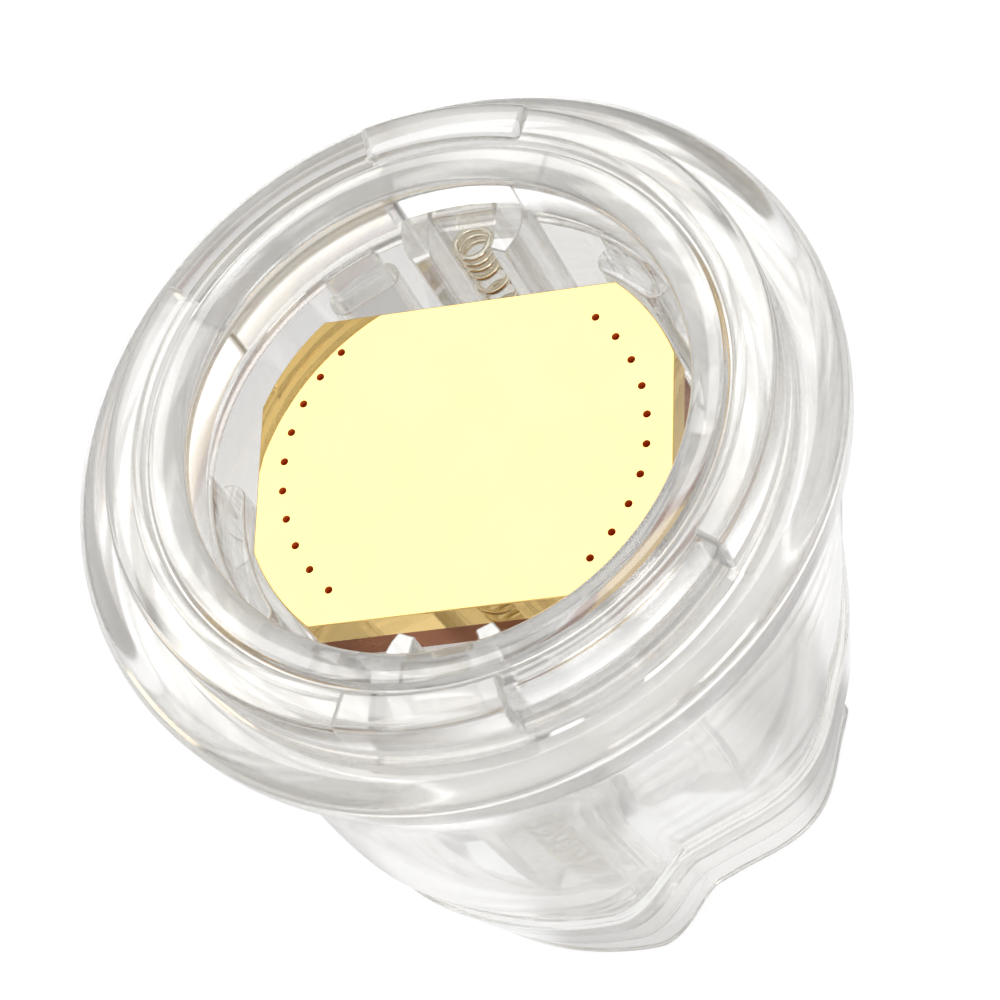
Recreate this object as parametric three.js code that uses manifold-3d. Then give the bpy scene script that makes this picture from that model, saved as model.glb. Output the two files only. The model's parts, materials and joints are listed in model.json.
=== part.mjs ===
// Clear needle head of a microneedling pen, in millimetres.
// +Z runs along the head's axis and out of its skin end. The head stands on its rear ring at z = 0.
// Seen from the skin end, the two side springs lie at 90 and 270 degrees and the needle rows face
// 0 and 180 degrees. The whole head looks the same after half a turn.

import * as THREE from 'three';
import { mergeVertices } from 'three/addons/utils/BufferGeometryUtils.js';
import Module from 'manifold-3d';

const wasm = await Module();
wasm.setup();

// Levels along the axis
const HEAD_HEIGHT = 24.3;             // rear face to the lip plane
const PLATE_RECESS = 3.2;             // lip plane down to the gold plate
const RIM_HEIGHT = 2.5;               // rear face to the skirt's rim
const LEDGE_HEIGHT = 4.0;             // rear face to the ledge that the coupling ring meets

// Front cap: aperture, lip and collar
const APERTURE_RADIUS = 9.0;
const FRONT_WALL = 2.1;               // thickness of the wall that the aperture goes through
const LIP_WIDTH = 1.3;
const LIP_RISE = 0.15;
const LIP_EDGE = 0.2;
const GROOVE_WIDTH = 0.24;
const COLLAR_WIDTH = 0.56;            // groove out to the collar's side
const COLLAR_HEIGHT = 1.75;
const COLLAR_BEVEL = 0.2;
const LUG_REACH = 0.9;                // lugs and tabs beyond the collar
const TAB_RISE = 0.25;
const RELIEF_DEPTH = 0.3;             // pocket in the aperture's wall beside each spring
const RELIEF_LIP = 0.45;              // full wall left in front of that pocket

// Front cap: flange and bore
const FLANGE_REACH = 2.76;            // collar's side out to the flange's widest ring
const FLANGE_ROUND = 0.96;            // width of the flange's rounded shoulder
const FLANGE_CREST_DROP = 0.77;       // flange top down to its widest ring
const FLANGE_HEIGHT = 2.9;
const FLANGE_SEAM_INSET = 0.73;       // widest ring in to the flange's rear edge
const SHOULDER_WIDTH = 0.9;           // ledge in the cap that clamps the guide frame

// Housing shell
const SEAM_STEP = 0.13;               // flange's rear edge in to the shell
const SHELL_TAPER = 3.37;             // shell's radius lost from the seam to the skirt's step
const SHELL_WALL = 0.9;
const SPIGOT_HEIGHT = 1.35;
const SPIGOT_WALL = 0.8;
const SKIRT_HEIGHT = 3.6;
const SKIRT_STEP = 0.22;
const STEP_SLOPE = 0.2;
const SKIRT_TAPER = 0.63;             // step in to the rim's outside
const RIM_WALL = 0.5;
const LEDGE_THICKNESS = 0.6;
const LEDGE_OVERLAP = 0.4;            // ledge reaches in past the coupling ring's outside

// Lobes of the housing
const LOBE_REACH = 1.7;
const LOBE_START = 7.2;               // lip plane down to where the lobes begin
const LOBE_GROWTH = 9.0;              // length over which they grow to full reach
const LOBE_GENTLE_FOOT_DEG = 5;
const LOBE_GENTLE_CREST_DEG = 62;
const LOBE_STEEP_CREST_DEG = 96;
const LOBE_STEEP_FOOT_DEG = 114;
const SWELL_CENTRE_DEG = 142;
const SWELL_HALF_DEG = 24;
const SWELL_SHARE = 0.33;             // a low swell beside each lobe, as a share of its reach

// Coupling ring
const COUPLING_WALL = 1.0;
const COUPLING_BEVEL = 0.25;
const KEYWAY_WIDTH = 2.4;
const KEYWAY_DEPTH = 1.4;

// Guide frame
const FRAME_THICKNESS = 0.6;
const FRAME_CLEARANCE = 0.2;          // frame's bore behind the aperture's wall
const GUIDE_CLEARANCE = 0.3;          // carriage to the guide walls
const GUIDE_WALL = 1.2;
const GUIDE_STEP_WIDTH = 0.6;         // step near the front end of each guide wall
const GUIDE_STEP_DROP = 1.6;          // frame's front face down to that step
const GUIDE_LENGTH = 10.6;
const GUIDE_WALLS_DEG = [[0, 31], [45, 57], [114, 124]];

// Spring channels
const CHANNEL_GAP = 2.5;              // between the two rails
const RAIL_WIDTH = 1.0;
const RAIL_STANDOFF = 1.15;           // plate's flat side out to the hooked ends of the rails
const RAIL_TIP = 0.6;                 // width of those ends
const RAIL_TIP_SLANT = 0.25;
const RAIL_HOOK = 0.2;                // how far the ends lean towards the spring
const RAIL_BEND = 1.5;                // length over which the rails lean
const WEB_WALL = 0.45;
const WEB_CORNER = 0.6;
const SLOT_CLEARANCE = 0.2;

// Side springs, their seats and posts
const SPRING_INSET = 0.45;            // aperture's wall in to the axis of the spring
const SPRING_RADIUS = 0.8;            // outside of the coil
const SPRING_WIRE = 0.25;
const SPRING_CURLS = 15;
const SEAT_THICKNESS = 1.05;
const SEAT_CLEARANCE = 0.1;
const SEAT_HOLD = 0.4;                // how far the seat reaches over the coil
const POST_RADIUS = 0.45;
const POST_LENGTH = 1.1;
const SPRING_SEAT_GAP = 0.05;

// Gold plate and its backing
const PLATE_MARGIN = 0.95;            // aperture's wall in to the plate's corners
const PLATE_SIDE_CUT = 0.52;          // plate's corner radius less its half width along X
const SPRING_STANDOFF = 1.75;         // plate's flat side out to the spring
const PLATE_THICKNESS = 1.3;
const BACKING_THICKNESS = 1.5;
const BACKING_INSET = 0.15;

// Needles
const NEEDLES_PER_ROW = 10;
const NEEDLE_INSET = 0.93;            // plate's side in to the middle of each row
const NEEDLE_ROW_MARGIN = 0.333;      // block's flat side in to the last needle of a row
const NEEDLE_RADIUS = 0.1;
const NEEDLE_TIP = 0.9;
const NEEDLE_RECESS = 0.2;            // plate face down to the needle points
const NEEDLE_HOLE_RADIUS = 0.145;
const NEEDLE_HEAD_RADIUS = 0.26;
const NEEDLE_HEAD = 0.3;

// Carriage frame and bush
const CARRIAGE_WALL = 0.85;
const CARRIAGE_FLOOR = 1.2;
const CARRIAGE_REST_GAP = 0.3;        // ledge up to the carriage at rest
const EAR_WIDTH = 1.9;
const EAR_MARGIN = 0.85;              // axis of the spring out to the ear's end
const BUSH_RADIUS = 2.3;
const BUSH_FLANGE_RADIUS = 3.0;
const BUSH_FLANGE = 1.6;
const BUSH_CLEARANCE = 0.05;

// Needle block, its backing and the drive stem
const NEEDLE_STROKE = 3.2;
const STROKE_CLEARANCE = 0.1;
const STEM_REST_GAP = 0.1;            // bush up to the stem's flange at rest
const BLOCK_CLEARANCE = 0.15;
const BLOCK_THICKNESS = 1.5;
const HUB_MARGIN = 1.15;              // carriage's inner wall in to the hub
const HUB_WALL = 0.9;
const POCKET_FLOOR = 1.2;
const CLAMP_THICKNESS = 1.0;
const CLAMP_CLEARANCE = 0.15;         // hub to the clamp's bore
const CLAMP_RIM = 0.2;
const STEM_RADIUS = 1.5;
const STEM_CLEARANCE = 0.06;
const STEM_FLANGE_RADIUS = 3.0;
const STEM_FLANGE = 0.8;
const STEM_FOOT = 1.0;                // rear face up to the stem's end
const STEM_GROOVE_RADIUS = 1.05;
const STEM_GROOVE_WIDTH = 0.8;
const STEM_NOSE = 0.8;
const STEM_NOSE_BEVEL = 0.35;

// Needle return spring
const RETURN_CLEARANCE = 0.3;         // pocket's wall to the spring
const RETURN_WIRE = 0.35;
const RETURN_CURLS = 6;

// Angles of the collar, measured from +X
const LUG_FROM_DEG = -33;
const LUG_TO_DEG = 75;
const TAB_TO_DEG = 105;
const HALF_TURN_DEG = 180;

// Working values
const FIT = 0.1;                      // gap between moulded pieces that slide together once
const OVERRUN = 0.5;                  // how far a cut or a join runs past its piece
const ROUND_SIDES = 64;
const SMALL_SIDES = 24;
const NEEDLE_SIDES = 6;
const ARC_STEPS = 4;
const SKIRT_STEPS = 2;
const CONE_STEPS = 7;
const BORE_STEPS = 6;
const COIL_STEPS = 8;
const COIL_SIDES = 5;

// Places worked out from the sizes above
const seamZ = HEAD_HEIGHT - COLLAR_HEIGHT - FLANGE_HEIGHT;
const collarFootZ = HEAD_HEIGHT - COLLAR_HEIGHT;
const frontWallZ = HEAD_HEIGHT - FRONT_WALL;
const spigotTopZ = seamZ + SPIGOT_HEIGHT;
const skirtTopZ = RIM_HEIGHT + SKIRT_HEIGHT;
const ledgeTopZ = LEDGE_HEIGHT + LEDGE_THICKNESS;
const capShoulderZ = spigotTopZ + FRAME_THICKNESS;
const lobeStartZ = HEAD_HEIGHT - LOBE_START;
const plateFaceZ = HEAD_HEIGHT - PLATE_RECESS;
const plateRearZ = plateFaceZ - PLATE_THICKNESS;
const backingRearZ = plateRearZ - BACKING_THICKNESS;
const carriageZ = ledgeTopZ + CARRIAGE_REST_GAP;
const floorTopZ = carriageZ + CARRIAGE_FLOOR;
const seatZ = frontWallZ - SEAT_THICKNESS;
const blockFrontZ = backingRearZ - NEEDLE_STROKE - STROKE_CLEARANCE;
const blockRearZ = blockFrontZ - BLOCK_THICKNESS;
const stemFlangeZ = floorTopZ + BUSH_FLANGE + STEM_REST_GAP;
const hubRearZ = stemFlangeZ + STEM_FLANGE;
const pocketFloorZ = hubRearZ + POCKET_FLOOR;

// Radii worked out from the aperture outwards
const lipOuter = APERTURE_RADIUS + LIP_WIDTH;
const grooveOuter = lipOuter + GROOVE_WIDTH;
const collarRadius = grooveOuter + COLLAR_WIDTH;
const lugRadius = collarRadius + LUG_REACH;
const flangeRadius = collarRadius + FLANGE_REACH;
const shellTopRadius = flangeRadius - FLANGE_SEAM_INSET - SEAM_STEP;
const spigotRadius = shellTopRadius - SHELL_WALL - FIT;
const frameRadius = spigotRadius - FIT;
const shoulderRadius = frameRadius - SHOULDER_WIDTH;
const shellRearRadius = shellTopRadius - SHELL_TAPER;
const rimRadius = shellRearRadius - SKIRT_TAPER;
const couplingRadius = rimRadius - RIM_WALL - FIT;
const ledgeRadius = couplingRadius - LEDGE_OVERLAP;

// Radii worked out from the plate and the springs
const springOffset = APERTURE_RADIUS - SPRING_INSET;
const plateRadius = APERTURE_RADIUS - PLATE_MARGIN;
const plateHalfX = plateRadius - PLATE_SIDE_CUT;
const plateHalfY = springOffset - SPRING_RADIUS - SPRING_STANDOFF;
const carriageRadius = plateRadius + FIT;
const guideBore = carriageRadius + GUIDE_CLEARANCE;
const cavityRadius = carriageRadius - CARRIAGE_WALL;
const cavityHalfY = plateHalfY - CARRIAGE_WALL;
const blockRadius = cavityRadius - BLOCK_CLEARANCE;
const blockHalfY = cavityHalfY - BLOCK_CLEARANCE;
const needleCircle = plateHalfX - NEEDLE_INSET;
const needleRowHalf = Math.asin((blockHalfY - NEEDLE_ROW_MARGIN) / needleCircle);
const hubRadius = cavityHalfY - HUB_MARGIN;
const pocketRadius = hubRadius - HUB_WALL;
const returnRadius = pocketRadius - RETURN_CLEARANCE;
const earReach = springOffset + EAR_MARGIN;
const railTipY = plateHalfY + RAIL_STANDOFF;
const webInner = springOffset + SPRING_RADIUS + 2 * FIT;
const webOuter = webInner + WEB_WALL;

// Materials

const clearPlastic = () => new THREE.MeshStandardMaterial({
  color: 0xe6e8e9, roughness: 0.16, metalness: 0, transparent: true, opacity: 0.45,
});
const gold = () => new THREE.MeshStandardMaterial({ color: 0xe8c35a, roughness: 0.06, metalness: 1 });
const copperBrown = () => new THREE.MeshStandardMaterial({
  color: 0x8a4a26, roughness: 0.35, metalness: 0.6,
});
const springSteel = () => new THREE.MeshStandardMaterial({ color: 0xcfd0cc, roughness: 0.2, metalness: 1 });
const whitePlastic = () => new THREE.MeshStandardMaterial({ color: 0xeceae4, roughness: 0.45, metalness: 0 });
const brass = () => new THREE.MeshStandardMaterial({ color: 0xc9a45c, roughness: 0.25, metalness: 1 });

// Solids

const radians = (degrees) => THREE.MathUtils.degToRad(degrees);

/** A closed three.js geometry as a manifold solid. */
function solidOf(geometry) {
  const bare = geometry.index ? geometry.clone() : mergeVertices(geometry);
  bare.deleteAttribute('normal');
  bare.deleteAttribute('uv');
  const joined = mergeVertices(bare);
  return new wasm.Manifold(new wasm.Mesh({
    numProp: 3,
    vertProperties: new Float32Array(joined.attributes.position.array),
    triVerts: new Uint32Array(joined.index.array),
  }));
}

/** A manifold solid as a named three.js mesh. */
function meshOf(name, solid, material) {
  const result = solid.getMesh();
  const geometry = new THREE.BufferGeometry();
  geometry.setAttribute('position', new THREE.BufferAttribute(result.vertProperties, 3));
  geometry.setIndex(new THREE.BufferAttribute(result.triVerts, 1));
  geometry.computeVertexNormals();
  const mesh = new THREE.Mesh(geometry, material);
  mesh.name = name;
  return mesh;
}

/** The outline [radius, z], listed anticlockwise, turned about the head's axis. */
function turned(outline, sides) {
  const points = outline.map(([radius, z]) => new THREE.Vector2(radius, z));
  if (outline[0][0] > 0) {
    points.push(points[0].clone());
  }
  const geometry = new THREE.LatheGeometry(points, sides);
  geometry.rotateX(Math.PI / 2);
  return geometry;
}

const turnedSolid = (outline, sides) => solidOf(turned(outline, sides));

/** A flat shape given its thickness between two heights. */
function prism(shape, fromZ, toZ) {
  const geometry = new THREE.ExtrudeGeometry(shape, {
    depth: toZ - fromZ, bevelEnabled: false, curveSegments: ARC_STEPS,
  });
  geometry.translate(0, 0, fromZ);
  return solidOf(geometry);
}

/** A block between two corners. */
function block([x0, y0, z0], [x1, y1, z1]) {
  const geometry = new THREE.BoxGeometry(x1 - x0, y1 - y0, z1 - z0);
  geometry.translate((x0 + x1) / 2, (y0 + y1) / 2, (z0 + z1) / 2);
  return solidOf(geometry);
}

/** A rod or a pin along Z at (x, y). */
function rod(x, y, radius, fromZ, toZ, sides) {
  const geometry = new THREE.CylinderGeometry(radius, radius, toZ - fromZ, sides);
  geometry.rotateX(Math.PI / 2);
  geometry.translate(x, y, (fromZ + toZ) / 2);
  return solidOf(geometry);
}

const halfTurned = (solid) => solid.rotate([0, 0, HALF_TURN_DEG]);

const withTwin = (solid) => solid.add(halfTurned(solid));

/** A slice of pie, tall enough to pick one sector out of any ring of the head. */
function wedge(fromDeg, toDeg, radius) {
  const shape = new THREE.Shape();
  shape.moveTo(0, 0);
  shape.lineTo(radius * Math.cos(radians(fromDeg)), radius * Math.sin(radians(fromDeg)));
  shape.absarc(0, 0, radius, radians(fromDeg), radians(toDeg), false);
  shape.closePath();
  return prism(shape, -OVERRUN, HEAD_HEIGHT + TAB_RISE + OVERRUN);
}

/** A curved wall with rounded ends, between two angles. */
function curvedWall(inner, outer, fromDeg, toDeg, fromZ, toZ) {
  const middle = (inner + outer) / 2;
  const end = (outer - inner) / 2;
  const from = radians(fromDeg);
  const to = radians(toDeg);
  const shape = new THREE.Shape();
  shape.absarc(0, 0, outer, from, to, false);
  shape.absarc(middle * Math.cos(to), middle * Math.sin(to), end, to, to + Math.PI, false);
  shape.absarc(0, 0, inner, to, from, true);
  shape.absarc(middle * Math.cos(from), middle * Math.sin(from), end, from + Math.PI, from, false);
  return prism(shape, fromZ, toZ);
}

/** A circle cut by flats at x = +-halfX and y = +-halfY. */
function flattedShape(radius, halfX, halfY) {
  const low = halfX < radius ? Math.acos(halfX / radius) : 0;
  const high = Math.asin(halfY / radius);
  const shape = new THREE.Shape();
  shape.absarc(0, 0, radius, low, high, false);
  shape.absarc(0, 0, radius, Math.PI - high, Math.PI - low, false);
  shape.absarc(0, 0, radius, Math.PI + low, Math.PI + high, false);
  shape.absarc(0, 0, radius, 2 * Math.PI - high, 2 * Math.PI - low, false);
  shape.closePath();
  return shape;
}

/** The places of the needles, two arcs that face each other across the plate. */
function needlePlaces() {
  const places = [];
  for (const rowDeg of [0, HALF_TURN_DEG]) {
    for (let i = 0; i < NEEDLES_PER_ROW; i += 1) {
      const angle = radians(rowDeg) + needleRowHalf * (2 * i / (NEEDLES_PER_ROW - 1) - 1);
      places.push([needleCircle * Math.cos(angle), needleCircle * Math.sin(angle)]);
    }
  }
  return places;
}

/** Adds the needle holes to a shape. */
function withNeedleHoles(shape) {
  for (const [x, y] of needlePlaces()) {
    const hole = new THREE.Path();
    hole.absarc(x, y, NEEDLE_HOLE_RADIUS, 0, 2 * Math.PI, true);
    shape.holes.push(hole);
  }
  return shape;
}

// Lobed walls

/** How far the lobes stand out at an angle, as a share of their full reach. */
function lobeShare(angleDeg) {
  const folded = THREE.MathUtils.euclideanModulo(angleDeg, HALF_TURN_DEG);
  const gentle = THREE.MathUtils.smoothstep(folded, LOBE_GENTLE_FOOT_DEG, LOBE_GENTLE_CREST_DEG);
  const steep = 1 - THREE.MathUtils.smoothstep(folded, LOBE_STEEP_CREST_DEG, LOBE_STEEP_FOOT_DEG);
  const offCentre = Math.min(1, Math.abs(folded - SWELL_CENTRE_DEG) / SWELL_HALF_DEG);
  const swell = SWELL_SHARE * (1 + Math.cos(Math.PI * offCentre)) / 2;
  return Math.min(gentle, steep) + swell;
}

/** Pushes a turned wall out into the lobes, more and more towards the rear. */
function lobed(geometry) {
  const position = geometry.attributes.position;
  for (let i = 0; i < position.count; i += 1) {
    const x = position.getX(i);
    const y = position.getY(i);
    const growth = THREE.MathUtils.smoothstep(lobeStartZ - position.getZ(i), 0, LOBE_GROWTH);
    const angle = Math.atan2(y, x);
    const radius = Math.hypot(x, y) + LOBE_REACH * growth * lobeShare(THREE.MathUtils.radToDeg(angle));
    position.setXY(i, radius * Math.cos(angle), radius * Math.sin(angle));
  }
  return geometry;
}

/** Points between two ends of a straight wall line, both ends included. */
function straight([r0, z0], [r1, z1], steps) {
  const points = [];
  for (let i = 0; i <= steps; i += 1) {
    points.push([r0 + (r1 - r0) * i / steps, z0 + (z1 - z0) * i / steps]);
  }
  return points;
}

// Coils

/** The centre line of a compression spring, with a short straight end square to each seat. */
function coilLine(x, y, outerRadius, wire, curls, fromZ, toZ) {
  const radius = outerRadius - wire / 2;
  const low = fromZ + SPRING_SEAT_GAP;
  const high = toZ - SPRING_SEAT_GAP;
  const rise = high - low - 2 * wire;
  const line = [new THREE.Vector3(x + radius, y, low)];
  for (let i = 0; i <= curls * COIL_STEPS; i += 1) {
    const turn = 2 * Math.PI * i / COIL_STEPS;
    const z = low + wire + rise * i / (curls * COIL_STEPS);
    line.push(new THREE.Vector3(x + radius * Math.cos(turn), y + radius * Math.sin(turn), z));
  }
  line.push(new THREE.Vector3(x + radius, y, high));
  return line;
}

/** The least gap between one curl of a coil and the next, measured on its points. */
function leastGap(line, wire) {
  let least = Infinity;
  for (let i = 0; i < line.length; i += 1) {
    for (let j = i + COIL_STEPS - 2; j < line.length; j += 1) {
      least = Math.min(least, line[i].distanceTo(line[j]) - wire);
    }
  }
  return least;
}

/** A closed tube of a few sides along a coil's centre line. */
function coilGeometry(line, wire, centre) {
  const positions = [];
  const triangles = [];
  const up = new THREE.Vector3(0, 0, 1);
  line.forEach((point, ring) => {
    const next = line[Math.min(ring + 1, line.length - 1)];
    const last = line[Math.max(ring - 1, 0)];
    const atEnd = ring === 0 || ring === line.length - 1;
    const ahead = atEnd ? up.clone() : next.clone().sub(last).normalize();
    const outward = new THREE.Vector3(point.x - centre.x, point.y - centre.y, 0).normalize();
    const side = new THREE.Vector3().crossVectors(ahead, outward).normalize();
    const across = new THREE.Vector3().crossVectors(side, ahead).normalize();
    for (let i = 0; i < COIL_SIDES; i += 1) {
      const angle = 2 * Math.PI * i / COIL_SIDES;
      const corner = point.clone()
        .addScaledVector(across, wire / 2 * Math.cos(angle))
        .addScaledVector(side, wire / 2 * Math.sin(angle));
      positions.push(corner.x, corner.y, corner.z);
    }
  });
  for (let ring = 0; ring + 1 < line.length; ring += 1) {
    for (let i = 0; i < COIL_SIDES; i += 1) {
      const a = ring * COIL_SIDES + i;
      const b = ring * COIL_SIDES + (i + 1) % COIL_SIDES;
      triangles.push(a, b, b + COIL_SIDES, a, b + COIL_SIDES, a + COIL_SIDES);
    }
  }
  const top = (line.length - 1) * COIL_SIDES;
  for (let i = 1; i + 1 < COIL_SIDES; i += 1) {
    triangles.push(0, i + 1, i, top, top + i, top + i + 1);
  }
  const geometry = new THREE.BufferGeometry();
  geometry.setAttribute('position', new THREE.Float32BufferAttribute(positions, 3));
  geometry.setIndex(triangles);
  return geometry;
}

/** One compression spring as a named mesh. */
function spring(name, x, y, outerRadius, wire, curls, fromZ, toZ) {
  const line = coilLine(x, y, outerRadius, wire, curls, fromZ, toZ);
  console.log(`${name}: least gap between curls ${leastGap(line, wire).toFixed(3)} mm`);
  const geometry = coilGeometry(line, wire, new THREE.Vector2(x, y));
  geometry.computeVertexNormals();
  const mesh = new THREE.Mesh(geometry, springSteel());
  mesh.name = name;
  return mesh;
}

// Housing pieces

/** The flange's outside, from its flat top round its widest ring to its rear edge. */
function flangeOutline() {
  const crestZ = collarFootZ - FLANGE_CREST_DROP;
  const points = [];
  for (let i = 0; i <= ARC_STEPS; i += 1) {
    const angle = Math.PI / 2 * (1 - i / ARC_STEPS);
    points.push([
      flangeRadius - FLANGE_ROUND + FLANGE_ROUND * Math.cos(angle),
      crestZ + FLANGE_CREST_DROP * Math.sin(angle),
    ]);
  }
  for (let i = 1; i <= ARC_STEPS; i += 1) {
    const share = i / ARC_STEPS;
    points.push([
      flangeRadius - FLANGE_SEAM_INSET * share * share,
      crestZ + (seamZ - crestZ) * share,
    ]);
  }
  return points;
}

/** One sector of a raised ring on the collar. */
function collarSector(innerRadius, topZ, fromDeg, toDeg) {
  const ring = turnedSolid([
    [innerRadius, collarFootZ - OVERRUN],
    [lugRadius, collarFootZ - OVERRUN],
    [lugRadius, topZ - COLLAR_BEVEL],
    [lugRadius - COLLAR_BEVEL, topZ],
    [innerRadius, topZ],
  ], ROUND_SIDES);
  return ring.intersect(wedge(fromDeg, toDeg, lugRadius + OVERRUN));
}

/** Lip, two-fold bayonet collar and rounded flange, in one moulding. */
function frontCap() {
  const capBore = spigotRadius + FIT;
  const outside = [
    [APERTURE_RADIUS, HEAD_HEIGHT - LIP_EDGE],
    [APERTURE_RADIUS, frontWallZ],
    [shoulderRadius, frontWallZ],
    [shoulderRadius, capShoulderZ],
    [capBore, capShoulderZ],
    [capBore, seamZ],
    ...flangeOutline().reverse(),
    [collarRadius, collarFootZ],
    [collarRadius, HEAD_HEIGHT - COLLAR_BEVEL],
    [collarRadius - COLLAR_BEVEL, HEAD_HEIGHT],
    [grooveOuter, HEAD_HEIGHT],
    [lipOuter + GROOVE_WIDTH / 2, HEAD_HEIGHT - GROOVE_WIDTH / 2],
    [lipOuter, HEAD_HEIGHT + LIP_RISE - LIP_EDGE / 2],
    [lipOuter - LIP_EDGE, HEAD_HEIGHT + LIP_RISE],
    [APERTURE_RADIUS + LIP_EDGE, HEAD_HEIGHT],
  ];
  const lug = collarSector(collarRadius - COLLAR_BEVEL - FIT, HEAD_HEIGHT, LUG_FROM_DEG, LUG_TO_DEG);
  const tab = collarSector(grooveOuter, HEAD_HEIGHT + TAB_RISE, LUG_TO_DEG, TAB_TO_DEG);
  const relief = turnedSolid([
    [APERTURE_RADIUS - OVERRUN, frontWallZ - OVERRUN],
    [APERTURE_RADIUS + RELIEF_DEPTH, frontWallZ - OVERRUN],
    [APERTURE_RADIUS + RELIEF_DEPTH, HEAD_HEIGHT - RELIEF_LIP],
    [APERTURE_RADIUS - OVERRUN, HEAD_HEIGHT - RELIEF_LIP],
  ], ROUND_SIDES).intersect(wedge(LUG_TO_DEG, TAB_TO_DEG, lugRadius));
  const solid = turnedSolid(outside, ROUND_SIDES)
    .add(withTwin(lug))
    .add(withTwin(tab))
    .subtract(withTwin(relief));
  return meshOf('front_cap', solid, clearPlastic());
}

/** Tapered shell that swells into two lobes, with a spigot for the cap and a stepped rear skirt. */
function housingShell() {
  const coneFoot = [shellRearRadius, skirtTopZ + STEP_SLOPE];
  const coneTop = [shellTopRadius, seamZ];
  const innerTop = shellTopRadius - SHELL_WALL;
  const spigotBore = spigotRadius - SPIGOT_WALL;
  const outline = [
    [rimRadius - RIM_WALL, RIM_HEIGHT],
    [rimRadius, RIM_HEIGHT],
    ...straight([rimRadius, RIM_HEIGHT], [shellRearRadius + SKIRT_STEP, skirtTopZ], SKIRT_STEPS).slice(1),
    ...straight(coneFoot, coneTop, CONE_STEPS),
    [spigotRadius, seamZ],
    [spigotRadius, spigotTopZ],
    [spigotBore, spigotTopZ],
    [spigotBore, seamZ],
    ...straight([innerTop, seamZ - SHELL_WALL], [shellRearRadius - SHELL_WALL, skirtTopZ], BORE_STEPS),
    [shellRearRadius - SHELL_WALL, ledgeTopZ],
    [ledgeRadius, ledgeTopZ],
    [ledgeRadius, LEDGE_HEIGHT],
    [rimRadius - RIM_WALL, LEDGE_HEIGHT],
  ];
  return meshOf('housing_shell', solidOf(lobed(turned(outline, ROUND_SIDES))), clearPlastic());
}

/** Ring that the pen's nose enters, with two keyways in its rear edge. */
function couplingRing() {
  const bore = couplingRadius - COUPLING_WALL;
  const ring = solidOf(lobed(turned([
    [bore, COUPLING_BEVEL],
    [bore + COUPLING_BEVEL, 0],
    [couplingRadius - COUPLING_BEVEL, 0],
    [couplingRadius, COUPLING_BEVEL],
    [couplingRadius, LEDGE_HEIGHT],
    [bore, LEDGE_HEIGHT],
  ], ROUND_SIDES)));
  const reach = couplingRadius + LOBE_REACH + OVERRUN;
  const keyway = block(
    [bore - OVERRUN, -KEYWAY_WIDTH / 2, -OVERRUN],
    [reach, KEYWAY_WIDTH / 2, KEYWAY_DEPTH],
  );
  return meshOf('coupling_ring', ring.subtract(withTwin(keyway)), clearPlastic());
}

/** One curved guide wall, with a step near its front end where the aperture shows it. */
function guideWall(fromDeg, toDeg) {
  const outer = guideBore + GUIDE_WALL;
  const stepZ = capShoulderZ - GUIDE_STEP_DROP;
  const lower = curvedWall(guideBore, outer, fromDeg, toDeg, capShoulderZ - GUIDE_LENGTH, stepZ);
  const upper = curvedWall(guideBore + GUIDE_STEP_WIDTH, outer, fromDeg, toDeg, stepZ - FIT, capShoulderZ);
  return lower.add(upper);
}

/** Ring clamped under the cap, with the curved walls that guide the plate and its carriage. */
function guideFrame() {
  const bore = APERTURE_RADIUS + FRAME_CLEARANCE;
  const ring = turnedSolid([
    [bore, spigotTopZ],
    [frameRadius, spigotTopZ],
    [frameRadius, capShoulderZ],
    [bore, capShoulderZ],
  ], ROUND_SIDES);
  const slotHalf = CHANNEL_GAP / 2 + RAIL_WIDTH + SLOT_CLEARANCE;
  const slot = block(
    [-slotHalf, 0, spigotTopZ - OVERRUN],
    [slotHalf, webOuter + SLOT_CLEARANCE, capShoulderZ + OVERRUN],
  );
  const walls = GUIDE_WALLS_DEG.map(([fromDeg, toDeg]) => guideWall(fromDeg, toDeg));
  const solid = walls.reduce((frame, wall) => frame.add(withTwin(wall)), ring.subtract(withTwin(slot)));
  return meshOf('guide_frame', solid, clearPlastic());
}

/** The section of a spring channel: two rails with hooked ends, joined by a web behind the spring. */
function channelShape() {
  const gap = CHANNEL_GAP / 2;
  const outer = gap + RAIL_WIDTH;
  const tipInner = gap - RAIL_HOOK;
  const tipOuter = tipInner + RAIL_TIP;
  const bendY = railTipY + RAIL_BEND;
  const shape = new THREE.Shape();
  shape.moveTo(-outer, bendY);
  shape.quadraticCurveTo(-outer, railTipY + RAIL_TIP, -tipOuter, railTipY);
  shape.lineTo(-tipInner, railTipY + RAIL_TIP_SLANT);
  shape.quadraticCurveTo(-gap, railTipY + RAIL_TIP, -gap, bendY);
  shape.lineTo(-gap, webInner);
  shape.lineTo(gap, webInner);
  shape.lineTo(gap, bendY);
  shape.quadraticCurveTo(gap, railTipY + RAIL_TIP, tipInner, railTipY + RAIL_TIP_SLANT);
  shape.lineTo(tipOuter, railTipY);
  shape.quadraticCurveTo(outer, railTipY + RAIL_TIP, outer, bendY);
  shape.lineTo(outer, webOuter - WEB_CORNER);
  shape.lineTo(gap + FIT, webOuter);
  shape.lineTo(-gap - FIT, webOuter);
  shape.lineTo(-outer, webOuter - WEB_CORNER);
  shape.closePath();
  return shape;
}

/** Rails on both sides of a spring, from the housing's ledge to the cap's front wall. */
function springChannel(name, place) {
  return meshOf(name, place(prism(channelShape(), ledgeTopZ, frontWallZ)), clearPlastic());
}

/** Block against the channel's web and the cap's front wall, over the front end of the spring. */
function springSeat(name, place) {
  const half = CHANNEL_GAP / 2 - SEAT_CLEARANCE;
  const innerY = springOffset + SPRING_RADIUS - SEAT_HOLD;
  return meshOf(name, place(block([-half, innerY, seatZ], [half, webInner, frontWallZ])), clearPlastic());
}

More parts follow.
